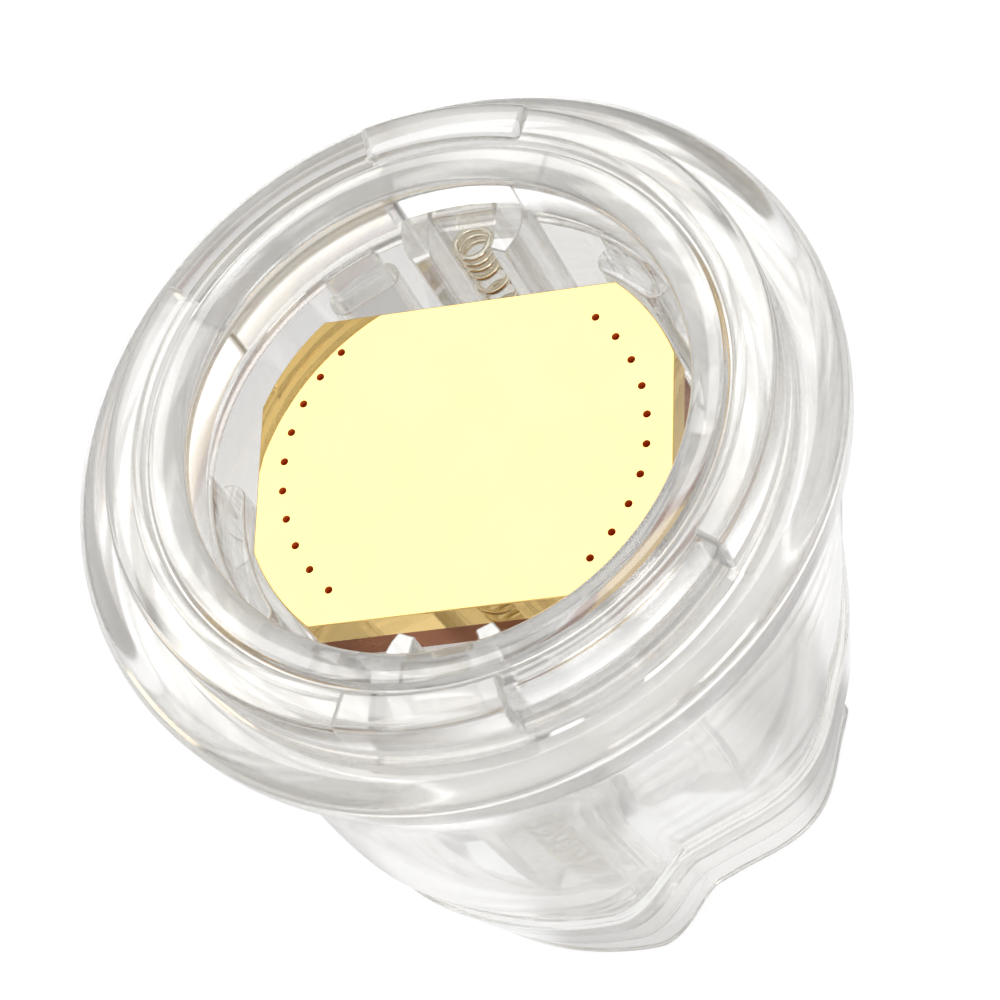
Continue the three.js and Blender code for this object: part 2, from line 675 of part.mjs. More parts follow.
// Carriage pieces

/** Mirror-bright plate that the needles come through. */
function guidePlate() {
  const shape = withNeedleHoles(flattedShape(plateRadius, plateHalfX, plateHalfY));
  return meshOf('guide_plate', prism(shape, plateRearZ, plateFaceZ), gold());
}

/** Copper-brown block that carries the gold plate. */
function plateBacking() {
  const shape = withNeedleHoles(flattedShape(
    plateRadius - BACKING_INSET,
    plateHalfX - BACKING_INSET,
    plateHalfY - BACKING_INSET,
  ));
  return meshOf('plate_backing', prism(shape, backingRearZ, plateRearZ), copperBrown());
}

/** One ear of the carriage, with the post in the rear end of its spring. */
function carriageEar() {
  const half = EAR_WIDTH / 2;
  const shape = new THREE.Shape();
  shape.moveTo(half, plateHalfY - OVERRUN);
  shape.lineTo(half, earReach - half);
  shape.absarc(0, earReach - half, half, 0, Math.PI, false);
  shape.lineTo(-half, plateHalfY - OVERRUN);
  shape.closePath();
  const post = rod(0, springOffset, POST_RADIUS, floorTopZ - FIT, floorTopZ + POST_LENGTH, SMALL_SIDES / 2);
  return prism(shape, carriageZ, floorTopZ).add(post);
}

/** Clear sleeve behind the plate, closed at the rear but for the bush, with an ear for each spring. */
function carriageFrame() {
  const body = prism(flattedShape(carriageRadius, carriageRadius, plateHalfY), carriageZ, backingRearZ);
  const inside = flattedShape(cavityRadius, cavityRadius, cavityHalfY);
  const cavity = prism(inside, floorTopZ, backingRearZ + OVERRUN);
  const bushHole = rod(0, 0, BUSH_RADIUS, carriageZ - OVERRUN, floorTopZ + OVERRUN, SMALL_SIDES);
  const solid = body.add(withTwin(carriageEar())).subtract(cavity).subtract(bushHole);
  return meshOf('carriage_frame', solid, clearPlastic());
}

/** Bearing for the drive stem. */
function stemBush() {
  const bore = STEM_RADIUS + STEM_CLEARANCE;
  const outer = BUSH_RADIUS - BUSH_CLEARANCE;
  return meshOf('stem_bush', turnedSolid([
    [bore, carriageZ],
    [outer, carriageZ],
    [outer, floorTopZ],
    [BUSH_FLANGE_RADIUS, floorTopZ],
    [BUSH_FLANGE_RADIUS, floorTopZ + BUSH_FLANGE],
    [bore, floorTopZ + BUSH_FLANGE],
  ], SMALL_SIDES), whitePlastic());
}

// Needle pieces

/** Block that the needles stand in, with a pocket for the return spring in its hub. */
function needleBlock() {
  const outline = withNeedleHoles(flattedShape(blockRadius, blockRadius, blockHalfY));
  const disc = prism(outline, blockRearZ, blockFrontZ);
  const hub = rod(0, 0, hubRadius, hubRearZ, blockRearZ + FIT, SMALL_SIDES);
  const pocket = rod(0, 0, pocketRadius, pocketFloorZ, blockFrontZ + OVERRUN, SMALL_SIDES);
  return meshOf('needle_block', disc.add(hub).subtract(pocket), whitePlastic());
}

/** Plate that clamps the needles' heads against the block. */
function needleClamp() {
  const topZ = blockRearZ - NEEDLE_HEAD;
  const rearZ = topZ - CLAMP_THICKNESS;
  const outline = flattedShape(blockRadius, blockRadius, blockHalfY);
  const rim = turnedSolid([
    [blockRadius - CLAMP_RIM, topZ - FIT],
    [blockRadius, topZ - FIT],
    [blockRadius, blockRearZ],
    [blockRadius - CLAMP_RIM, blockRearZ],
  ], ROUND_SIDES).intersect(prism(outline, topZ - OVERRUN, blockRearZ));
  const bore = hubRadius + CLAMP_CLEARANCE;
  const hole = rod(0, 0, bore, rearZ - OVERRUN, blockRearZ + OVERRUN, SMALL_SIDES);
  return meshOf('needle_clamp', prism(outline, rearZ, topZ).add(rim).subtract(hole), brass());
}

/** One needle, head down, standing at (x, y). */
function needle(name, [x, y]) {
  const tipZ = plateFaceZ - NEEDLE_RECESS;
  const geometry = turned([
    [0, blockRearZ - NEEDLE_HEAD],
    [NEEDLE_HEAD_RADIUS, blockRearZ - NEEDLE_HEAD],
    [NEEDLE_HEAD_RADIUS, blockRearZ],
    [NEEDLE_RADIUS, blockRearZ],
    [NEEDLE_RADIUS, tipZ - NEEDLE_TIP],
    [0, tipZ],
  ], NEEDLE_SIDES);
  const mesh = meshOf(name, solidOf(geometry), gold());
  mesh.position.set(x, y, 0);
  return mesh;
}

/** Stem that the pen's motor pushes, with the groove that its catch grips. */
function driveStem() {
  const grooveZ = STEM_FOOT + STEM_NOSE;
  return meshOf('drive_stem', turnedSolid([
    [0, STEM_FOOT],
    [STEM_RADIUS - STEM_NOSE_BEVEL, STEM_FOOT],
    [STEM_RADIUS, STEM_FOOT + STEM_NOSE_BEVEL],
    [STEM_RADIUS, grooveZ],
    [STEM_GROOVE_RADIUS, grooveZ],
    [STEM_GROOVE_RADIUS, grooveZ + STEM_GROOVE_WIDTH],
    [STEM_RADIUS, grooveZ + STEM_GROOVE_WIDTH],
    [STEM_RADIUS, stemFlangeZ],
    [STEM_FLANGE_RADIUS, stemFlangeZ],
    [STEM_FLANGE_RADIUS, hubRearZ],
    [0, hubRearZ],
  ], SMALL_SIDES), whitePlastic());
}

// The head

const asMade = (solid) => solid;
const head = new THREE.Group();

const housing = new THREE.Group();
housing.add(frontCap(), housingShell(), couplingRing(), guideFrame());
housing.add(springChannel('spring_channel_top', asMade), springChannel('spring_channel_bottom', halfTurned));
housing.add(springSeat('spring_seat_top', asMade), springSeat('spring_seat_bottom', halfTurned));
for (const [name, side] of [['return_spring_top', 1], ['return_spring_bottom', -1]]) {
  const y = side * springOffset;
  housing.add(spring(name, 0, y, SPRING_RADIUS, SPRING_WIRE, SPRING_CURLS, floorTopZ, seatZ));
}

const carriage = new THREE.Group();
carriage.add(guidePlate(), plateBacking(), carriageFrame(), stemBush());
carriage.add(spring(
  'needle_return_spring', 0, 0, returnRadius, RETURN_WIRE, RETURN_CURLS, pocketFloorZ, backingRearZ,
));

const needles = new THREE.Group();
needles.add(needleBlock(), needleClamp(), driveStem());
needlePlaces().forEach((place, i) => {
  needles.add(needle(`needle_${String(i + 1).padStart(2, '0')}`, place));
});

head.add(housing, carriage, needles);
export default head;
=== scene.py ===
"""Looks of the clear needle head: studio, finishes and the finer pieces that stand for the CAD nodes."""

import json
import logging
import math
from dataclasses import dataclass
from enum import Enum
from typing import Iterable, Sequence

import bmesh
import bpy
from mathutils import Matrix, Vector

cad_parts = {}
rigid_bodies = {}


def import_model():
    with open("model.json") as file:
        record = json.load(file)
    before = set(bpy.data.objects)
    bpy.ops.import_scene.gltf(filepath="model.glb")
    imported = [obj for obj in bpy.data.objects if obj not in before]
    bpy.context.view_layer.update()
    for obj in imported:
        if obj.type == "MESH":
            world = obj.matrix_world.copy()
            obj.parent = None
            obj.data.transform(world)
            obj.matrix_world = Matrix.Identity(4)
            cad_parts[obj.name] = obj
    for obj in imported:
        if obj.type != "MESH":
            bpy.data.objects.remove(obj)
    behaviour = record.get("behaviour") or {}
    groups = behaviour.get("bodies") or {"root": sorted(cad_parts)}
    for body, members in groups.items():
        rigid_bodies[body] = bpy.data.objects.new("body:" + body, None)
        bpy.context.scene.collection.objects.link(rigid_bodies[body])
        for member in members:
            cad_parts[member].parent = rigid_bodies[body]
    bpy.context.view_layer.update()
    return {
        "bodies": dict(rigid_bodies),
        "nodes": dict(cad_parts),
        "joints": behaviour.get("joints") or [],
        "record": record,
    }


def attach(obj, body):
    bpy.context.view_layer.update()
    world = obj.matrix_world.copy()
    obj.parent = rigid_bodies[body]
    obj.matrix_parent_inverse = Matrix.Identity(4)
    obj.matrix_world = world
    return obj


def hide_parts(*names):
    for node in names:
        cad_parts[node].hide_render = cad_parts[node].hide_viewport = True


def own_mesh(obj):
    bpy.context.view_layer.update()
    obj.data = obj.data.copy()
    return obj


LOG = logging.getLogger("needle_head")
MM = 0.001
Pair = tuple[float, float]
Triple = tuple[float, float, float]
Profile = Sequence[Pair]

SHELL_PALE: Triple = (0.96, 0.96, 0.96)
SHELL_DEEP: Triple = (0.94, 0.93, 0.905)
CLOSE = 1e-7  # metres between points that count as one


class Body(Enum):
    """The three rigid bodies of the head."""

    HOUSING = "housing"
    CARRIAGE = "carriage"
    NEEDLE_SET = "needle_set"


class Slot(Enum):
    """The record's material slots."""

    CLEAR = "clear_plastic"
    GOLD_PLATE = "gold_plate"
    GOLD_NEEDLE = "gold_needle"
    # The backing's slot: its dark copper-brown is painted shade of the plate's underside.
    COPPER = "copper_brown"
    SPRING = "spring_steel"
    WHITE = "white_plastic"
    BRASS = "brass"


class Gloss(Enum):
    """How the clear plastic of a piece is finished."""

    SATIN = "satin"
    SHELL = "shell"
    POLISHED = "polished"


# Node groups that several finishes share


@dataclass(frozen=True)
class MouldGrain:
    """Fine speckle of a moulded or plated face, as a mask and a height."""

    name: str = "mould_grain"

    def group(self) -> bpy.types.ShaderNodeTree:
        """Builds the node group once.

        Returns:
            The group, with inputs Fine Scale and Cloud Scale and outputs Speckle, Cloud and Height.
        """
        found = bpy.data.node_groups.get(self.name)
        if found:
            return found
        tree = bpy.data.node_groups.new(self.name, "ShaderNodeTree")
        face = tree.interface
        for label, value in (("Fine Scale", 9000.0), ("Cloud Scale", 260.0)):
            socket = face.new_socket(label, in_out="INPUT", socket_type="NodeSocketFloat")
            socket.default_value = value
        for label in ("Speckle", "Cloud", "Height"):
            face.new_socket(label, in_out="OUTPUT", socket_type="NodeSocketFloat")
        nodes, links = tree.nodes, tree.links
        inlet, outlet = nodes.new("NodeGroupInput"), nodes.new("NodeGroupOutput")
        place = nodes.new("ShaderNodeTexCoord")
        fine, cloud = nodes.new("ShaderNodeTexNoise"), nodes.new("ShaderNodeTexNoise")
        fine.inputs["Detail"].default_value = 2.0
        cloud.inputs["Detail"].default_value = 4.0
        cloud.inputs["Roughness"].default_value = 0.6
        total = nodes.new("ShaderNodeMath")
        total.operation = "MULTIPLY"
        for node, label in ((fine, "Fine Scale"), (cloud, "Cloud Scale")):
            links.new(place.outputs["Object"], node.inputs["Vector"])
            links.new(inlet.outputs[label], node.inputs["Scale"])
        links.new(fine.outputs["Fac"], outlet.inputs["Speckle"])
        links.new(cloud.outputs["Fac"], outlet.inputs["Cloud"])
        links.new(fine.outputs["Fac"], total.inputs[0])
        links.new(cloud.outputs["Fac"], total.inputs[1])
        links.new(total.outputs[0], outlet.inputs["Height"])
        return tree


class Painter:
    """Small helper that wires one Principled material."""

    def __init__(self, name: str) -> None:
        """Starts an empty material with a Principled shader.

        Args:
            name: The material's name.
        """
        self.material = bpy.data.materials.new(name)
        self.material.use_nodes = True
        self.nodes = self.material.node_tree.nodes
        self.links = self.material.node_tree.links
        self.shader = self.nodes["Principled BSDF"]

    def fix(self, **values: object) -> None:
        """Sets plain values on the shader's sockets, with underscores for spaces."""
        for label, value in values.items():
            self.shader.inputs[label.replace("_", " ").title().replace("Ior", "IOR")].default_value = value

    def grain(self, fine: float, cloud: float) -> bpy.types.Node:
        """Places the shared grain group.

        Args:
            fine: Scale of the speckle, in cells per metre.
            cloud: Scale of the clouding, in cells per metre.

        Returns:
            The group node.
        """
        node = self.nodes.new("ShaderNodeGroup")
        node.node_tree = MouldGrain().group()
        node.inputs["Fine Scale"].default_value = fine
        node.inputs["Cloud Scale"].default_value = cloud
        return node

    def spread(
        self,
        source: bpy.types.NodeSocket,
        low: float,
        high: float,
        span: Pair = (0.3, 0.7),
    ) -> bpy.types.NodeSocket:
        """Maps a noise value onto a range.

        Args:
            source: The value to map.
            low: Value at the dark end.
            high: Value at the bright end.
            span: Part of the noise that is stretched over the range.

        Returns:
            The mapped value's socket.
        """
        node = self.nodes.new("ShaderNodeMapRange")
        node.inputs["From Min"].default_value, node.inputs["From Max"].default_value = span
        node.inputs["To Min"].default_value, node.inputs["To Max"].default_value = low, high
        self.links.new(source, node.inputs["Value"])
        return node.outputs["Result"]

    def blend(self, source: bpy.types.NodeSocket, first: Triple, second: Triple) -> bpy.types.NodeSocket:
        """Mixes two colours by a value.

        Args:
            source: The mixing value.
            first: Colour at 0.
            second: Colour at 1.

        Returns:
            The mixed colour's socket.
        """
        node = self.nodes.new("ShaderNodeMix")
        node.data_type = "RGBA"
        node.inputs["A"].default_value = (*first, 1.0)
        node.inputs["B"].default_value = (*second, 1.0)
        self.links.new(source, node.inputs["Factor"])
        return node.outputs["Result"]

    def emboss(self, height: bpy.types.NodeSocket, strength: float, distance: float) -> None:
        """Feeds a height into the shader's normal.

        Args:
            height: The height's socket.
            strength: Strength of the bump.
            distance: Depth of the bump, in metres.
        """
        node = self.nodes.new("ShaderNodeBump")
        node.inputs["Strength"].default_value = strength
        node.inputs["Distance"].default_value = distance
        self.links.new(height, node.inputs["Height"])
        self.links.new(node.outputs["Normal"], self.shader.inputs["Normal"])


@dataclass(frozen=True)
class ClearPlastic:
    """Clear moulded plastic with a faint frosting, and a sheen that stands for its many inner faces."""

    name: str
    smooth: float
    frosted: float
    bump: float
    sheen: float
    coat: float = 0.0
    pale: Triple = (0.91, 0.91, 0.91)
    deep: Triple = (0.88, 0.87, 0.845)
    ior: float = 1.45
    coat_ior: float = 1.5
    coat_rough: float = 0.04
    speckle: float = 9000.0
    clouding: float = 90.0

    def build(self) -> bpy.types.Material:
        """Builds the material.

        Returns:
            The finished material.
        """
        paint = Painter(self.name)
        paint.fix(ior=self.ior, transmission_weight=1.0, metallic=self.sheen)
        paint.fix(coat_weight=self.coat, coat_roughness=self.coat_rough, coat_ior=self.coat_ior)
        grain = paint.grain(self.speckle, self.clouding)
        cloud = paint.spread(grain.outputs["Cloud"], 0.0, 1.0)
        paint.links.new(paint.blend(cloud, self.pale, self.deep), paint.shader.inputs["Base Color"])
        rough = paint.spread(grain.outputs["Speckle"], self.smooth, self.frosted)
        paint.links.new(rough, paint.shader.inputs["Roughness"])
        paint.emboss(grain.outputs["Speckle"], self.bump, 0.00002)
        return paint.material


@dataclass(frozen=True)
class Metal:
    """Plated or drawn metal."""

    name: str
    pale: Triple
    deep: Triple
    smooth: float
    rough: float
    metallic: float = 1.0
    fine: float = 4000.0
    cloud: float = 300.0
    bump: float = 0.03

    def build(self) -> bpy.types.Material:
        """Builds the material.

        Returns:
            The finished material.
        """
        paint = Painter(self.name)
        paint.fix(metallic=self.metallic)
        grain = paint.grain(self.fine, self.cloud)
        cloud = paint.spread(grain.outputs["Cloud"], 0.0, 1.0)
        paint.links.new(paint.blend(cloud, self.pale, self.deep), paint.shader.inputs["Base Color"])
        rough = paint.spread(grain.outputs["Cloud"], self.smooth, self.rough)
        paint.links.new(rough, paint.shader.inputs["Roughness"])
        paint.emboss(grain.outputs["Height"], self.bump, 0.00001)
        return paint.material


@dataclass(frozen=True)
class WhitePlastic:
    """Semi-gloss moulded plastic of the inner pieces."""

    name: str
    pale: Triple = (0.86, 0.855, 0.83)
    deep: Triple = (0.8, 0.79, 0.76)
    smooth: float = 0.28
    rough: float = 0.45
    speckle: float = 6000.0
    clouding: float = 220.0

    def build(self) -> bpy.types.Material:
        """Builds the material.

        Returns:
            The finished material.
        """
        paint = Painter(self.name)
        grain = paint.grain(self.speckle, self.clouding)
        cloud = paint.spread(grain.outputs["Cloud"], 0.0, 1.0)
        paint.links.new(paint.blend(cloud, self.pale, self.deep), paint.shader.inputs["Base Color"])
        rough = paint.spread(grain.outputs["Speckle"], self.smooth, self.rough)
        paint.links.new(rough, paint.shader.inputs["Roughness"])
        paint.emboss(grain.outputs["Height"], 0.1, 0.00002)
        return paint.material


class Finishes:
    """All the finishes of the head, one material for each record slot."""

    def __init__(self) -> None:
        """Builds the materials."""
        # Painted reflection: the deep orange-red of the needle holes' walls stands in for the gold's
        # interreflection inside them.
        painted_reflection = Metal("hole_painted_reflection_finish", (1.0, 0.27, 0.04), (0.9, 0.2, 0.03), 0.4, 0.55, 0.3)
        self.hole_painted_reflection = painted_reflection.build()
        bright = {"pale": SHELL_PALE, "deep": SHELL_DEEP}
        polished = ClearPlastic("polished_plastic_finish", 0.05, 0.06, 0.0, sheen=0.2, **bright)
        shell = ClearPlastic("shell_plastic_finish", 0.02, 0.04, 0.02, sheen=0.14, coat=0.6, **bright)
        self.by_gloss = {Gloss.POLISHED: polished.build(), Gloss.SHELL: shell.build()}
        by_slot = {
            Slot.CLEAR: ClearPlastic("clear_plastic_finish", 0.1, 0.14, 0.04, sheen=0.1, coat=0.8),
            Slot.GOLD_PLATE: Metal("gold_plate_finish", (0.92, 0.66, 0.25), (0.9, 0.63, 0.235), 0.01, 0.03),
            # The needles' colour is partly their own gold and partly painted reflection: the deep orange
            # stands in for the interreflection in the holes around their tips.
            Slot.GOLD_NEEDLE: Metal(
                "gold_needle_painted_reflection_finish", (0.95, 0.42, 0.14), (0.85, 0.34, 0.1), 0.3, 0.4, 0.6
            ),
            # Painted shade: the dark copper-brown of the plate's backing stands in for the shadowed
            # reflection seen below the plate's edge.
            Slot.COPPER: Metal("backing_painted_shade_finish", (0.42, 0.16, 0.06), (0.3, 0.1, 0.04), 0.2, 0.35),
            Slot.SPRING: Metal("spring_wire_finish", (0.95, 0.93, 0.87), (0.9, 0.82, 0.62), 0.08, 0.15),
            Slot.WHITE: WhitePlastic("white_plastic_finish"),
            Slot.BRASS: Metal("brass_finish", (0.8, 0.6, 0.28), (0.7, 0.5, 0.22), 0.2, 0.3),
        }
        self.by_slot = {slot: finish.build() for slot, finish in by_slot.items()}

    def dress(self, piece: bpy.types.Object, slot: Slot, gloss: Gloss = Gloss.SATIN) -> None:
        """Gives a piece the finish of its slot, or one of the other clear finishes.

        Args:
            piece: The piece to dress.
            slot: The record's material slot.
            gloss: How a clear piece is finished.
        """
        piece.data.materials.clear()
        piece.data.materials.append(self.by_gloss.get(gloss, self.by_slot[slot]))


# Modelling moves


class Bench:
    """Moves that every sub-assembly makes its meshes with. Lengths are in millimetres."""

    @staticmethod
    def clear() -> None:
        """Leaves edit mode and deselects everything."""
        if bpy.context.object and bpy.context.object.mode != "OBJECT":
            bpy.ops.object.mode_set(mode="OBJECT")
        bpy.ops.object.select_all(action="DESELECT")

    @staticmethod
    def take(piece: bpy.types.Object) -> None:
        """Makes one piece the only selected and active object.

        Args:
            piece: The piece to work on.
        """
        Bench.clear()
        piece.select_set(True)
        bpy.context.view_layer.objects.active = piece

    @staticmethod
    def outline(name: str, points: Profile, closed: bool = True) -> bpy.types.Object:
        """Draws a profile in the XZ plane, one extruded vertex after another.

        Args:
            name: Name of the new piece.
            points: Radius and height of each corner.
            closed: Whether the last corner is joined to the first.

        Returns:
            The piece, left in edit mode with all selected.
        """
        Bench.clear()
        bpy.ops.mesh.primitive_plane_add(size=MM)
        piece = bpy.context.object
        piece.name = name
        bpy.ops.object.mode_set(mode="EDIT")
        bpy.ops.mesh.select_mode(type="VERT")
        bpy.ops.mesh.select_all(action="SELECT")
        bpy.ops.mesh.merge(type="CENTER")
        first = points[0]
        bpy.ops.transform.translate(value=(first[0] * MM, 0.0, first[1] * MM))
        for before, point in zip(points, points[1:]):
            step = ((point[0] - before[0]) * MM, 0.0, (point[1] - before[1]) * MM)
            bpy.ops.mesh.extrude_region_move(TRANSFORM_OT_translate={"value": step})
        if closed:
            mesh = bmesh.from_edit_mesh(piece.data)
            mesh.verts.ensure_lookup_table()
            for vertex in mesh.verts:
                vertex.select = len(vertex.link_edges) == 1
            mesh.select_flush_mode()
            bmesh.update_edit_mesh(piece.data)
            bpy.ops.mesh.edge_face_add()
        bpy.ops.mesh.select_all(action="SELECT")
        return piece

    @staticmethod
    def spun(name: str, points: Profile, steps: int, span: Pair = (0.0, 360.0)) -> bpy.types.Object:
        """Spins a closed profile about the head's axis, all the way round or over a sector.

        Args:
            name: Name of the new piece.
            points: Radius and height of each corner.
            steps: Number of steps over the whole span.
            span: First and last angle in degrees.

        Returns:
            The closed piece, in object mode.
        """
        on_axis = points[0][0] == 0.0
        piece = Bench.outline(name, points, closed=not on_axis)
        start, sweep = math.radians(span[0]), math.radians(span[1] - span[0])
        turn = Matrix.Rotation(start, 4, "Z")
        mesh = bmesh.from_edit_mesh(piece.data)
        bmesh.ops.transform(mesh, matrix=turn, verts=mesh.verts)
        bmesh.update_edit_mesh(piece.data)
        # The operator turns clockwise about +Z, so the sweep is negative
        bpy.ops.mesh.spin(steps=steps, angle=-sweep, center=(0.0, 0.0, 0.0), axis=(0.0, 0.0, 1.0))
        bpy.ops.mesh.select_all(action="SELECT")
        bpy.ops.mesh.remove_doubles(threshold=2 * CLOSE)
        if sweep < 2.0 * math.pi - 1e-6:
            bpy.ops.mesh.select_all(action="SELECT")
            bpy.ops.mesh.fill_holes(sides=0)
        bpy.ops.mesh.select_all(action="SELECT")
        bpy.ops.mesh.normals_make_consistent(inside=False)
        bpy.ops.object.mode_set(mode="OBJECT")
        return piece

    @staticmethod
    def raised(name: str, points: Profile, levels: Pair) -> bpy.types.Object:
        """Raises a closed outline seen from above into a straight-sided piece.

        Args:
            name: Name of the new piece.
            points: Place of each corner across the head.
            levels: Lower and upper end.

        Returns:
            The closed piece, in object mode.
        """
        piece = Bench.outline(name, points)
        mesh = bmesh.from_edit_mesh(piece.data)
        lying = Matrix.Rotation(-math.pi / 2, 4, "X")
        foot = Matrix.Translation((0.0, 0.0, levels[0] * MM))
        bmesh.ops.transform(mesh, matrix=foot @ lying, verts=mesh.verts)
        bmesh.update_edit_mesh(piece.data)
        bpy.ops.mesh.edge_face_add()
        height = (0.0, 0.0, (levels[1] - levels[0]) * MM)
        bpy.ops.mesh.extrude_region_move(TRANSFORM_OT_translate={"value": height})
        bpy.ops.mesh.select_all(action="SELECT")
        bpy.ops.mesh.normals_make_consistent(inside=False)
        bpy.ops.object.mode_set(mode="OBJECT")
        return piece

    @staticmethod
    def rod(name: str, at: Pair, radius: float, levels: Pair, sides: int) -> bpy.types.Object:
        """Stands a rod along the axis direction.

        Args:
            name: Name of the new piece.
            at: Its place across the head.
            radius: Its radius.
            levels: Its lower and upper end.
            sides: Number of sides.

        Returns:
            The rod, with its place in its mesh.
        """
        Bench.clear()
        middle = (at[0] * MM, at[1] * MM, sum(levels) / 2 * MM)
        depth = (levels[1] - levels[0]) * MM
        bpy.ops.mesh.primitive_cylinder_add(
            vertices=sides, radius=radius * MM, depth=depth, location=middle
        )
        return Bench.named(name)

    @staticmethod
    def block(name: str, low: Triple, high: Triple) -> bpy.types.Object:
        """Sets a block between two corners.

        Args:
            name: Name of the new piece.
            low: Its lowest corner.
            high: Its highest corner.

        Returns:
            The block, with its place in its mesh.
        """
        Bench.clear()
        middle = [(a + b) / 2 * MM for a, b in zip(low, high)]
        bpy.ops.mesh.primitive_cube_add(size=1.0, location=middle)
        bpy.context.object.scale = [(b - a) * MM for a, b in zip(low, high)]
        return Bench.named(name)

    @staticmethod
    def named(name: str) -> bpy.types.Object:
        """Names the active piece and puts its place, turn and size into its mesh.

        Args:
            name: The piece's name.

        Returns:
            The piece.
        """
        bpy.ops.object.transform_apply(location=True, rotation=True, scale=True)
        bpy.context.object.name = name
        return bpy.context.object

    @staticmethod
    def sliced(piece: bpy.types.Object, point: Triple, normal: Triple) -> None:
        """Cuts off what lies beyond a plane and closes the cut.

        Args:
            piece: The piece to cut.
            point: A point on the plane.
            normal: The plane's direction, towards the part that is cut off.
        """
        Bench.take(piece)
        bpy.ops.object.mode_set(mode="EDIT")
        bpy.ops.mesh.select_all(action="SELECT")
        place = [value * MM for value in point]
        bpy.ops.mesh.bisect(
            plane_co=place, plane_no=normal, use_fill=True, clear_outer=True, threshold=CLOSE
        )
        bpy.ops.object.mode_set(mode="OBJECT")

    @staticmethod
    def softened(piece: bpy.types.Object, width: float, segments: int = 2, limit: float = 35.0) -> None:
        """Rounds every edge sharper than a limit.

        Args:
            piece: The piece to round.
            width: Width of the rounding.
            segments: Number of steps across it.
            limit: Least angle between the faces, in degrees.
        """
        Bench.take(piece)
        bevel = piece.modifiers.new("edges", "BEVEL")
        bevel.width, bevel.segments = width * MM, segments
        bevel.limit_method, bevel.angle_limit = "ANGLE", math.radians(limit)
        bevel.use_clamp_overlap = True
        bevel.miter_outer = "MITER_ARC"
        bpy.ops.object.modifier_apply(modifier=bevel.name)

    @staticmethod
    def combined(piece: bpy.types.Object, other: bpy.types.Object, how: str) -> None:
        """Joins, cuts or intersects a piece with another, which is used up.

        Args:
            piece: The piece that stays.
            other: The piece that is used up.
            how: UNION, DIFFERENCE or INTERSECT.
        """
        Bench.take(piece)
        boolean = piece.modifiers.new("combine", "BOOLEAN")
        boolean.operation, boolean.object, boolean.solver = how, other, "EXACT"
        bpy.ops.object.modifier_apply(modifier=boolean.name)
        bpy.data.objects.remove(other, do_unlink=True)
        bpy.ops.object.mode_set(mode="EDIT")
        bpy.ops.mesh.select_all(action="SELECT")
        bpy.ops.mesh.remove_doubles(threshold=CLOSE / 2)
        bpy.ops.object.mode_set(mode="OBJECT")

    @staticmethod
    def copied(node: bpy.types.Object, name: str) -> bpy.types.Object:
        """Copies a CAD node as a merged mesh of large flat faces.

        Args:
            node: The CAD node.
            name: Name of the copy.

        Returns:
            The copy, ready for its edges to be rounded.
        """
        twin = bpy.data.objects.new(name, node.data.copy())
        bpy.context.scene.collection.objects.link(twin)
        Bench.take(twin)
        bpy.ops.object.mode_set(mode="EDIT")
        bpy.ops.mesh.select_all(action="SELECT")
        bpy.ops.mesh.remove_doubles(threshold=CLOSE)
        bpy.ops.mesh.dissolve_limited(angle_limit=math.radians(0.5))
        bpy.ops.object.mode_set(mode="OBJECT")
        return twin


@dataclass
class Assembly:
    """What every sub-assembly needs to hand its pieces over. Sizes are in millimetres and degrees."""

    nodes: dict[str, bpy.types.Object]
    finishes: Finishes

    def hand_over(
        self,
        piece: bpy.types.Object,
        body: Body,
        slot: Slot,
        stands_for: Iterable[str],
        smooth: float = 32.0,
        gloss: Gloss = Gloss.SATIN,
    ) -> bpy.types.Object:
        """Shades, dresses and places a finished piece in the frame.

        Args:
            piece: The finished piece.
            body: The body that it moves with.
            slot: The record's material slot.
            stands_for: The CAD nodes that it stands for.
            smooth: Greatest angle that still shades smoothly, in degrees.
            gloss: How a clear piece is finished.

        Returns:
            The same piece.
        """
        Bench.take(piece)
        bpy.ops.object.shade_smooth_by_angle(angle=math.radians(smooth))
        level = piece.modifiers.new("flat_faces", "WEIGHTED_NORMAL")
        level.mode, level.weight, level.keep_sharp = "FACE_AREA", 90, True
        bpy.ops.object.modifier_apply(modifier=level.name)
        self.finishes.dress(piece, slot, gloss)
        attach(piece, body.value)
        names = list(stands_for)
        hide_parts(*names)
        faces = len(piece.data.polygons)
        LOG.info("%s: %d faces, on %s, for %s", piece.name, faces, body.value, ", ".join(names))
        return piece


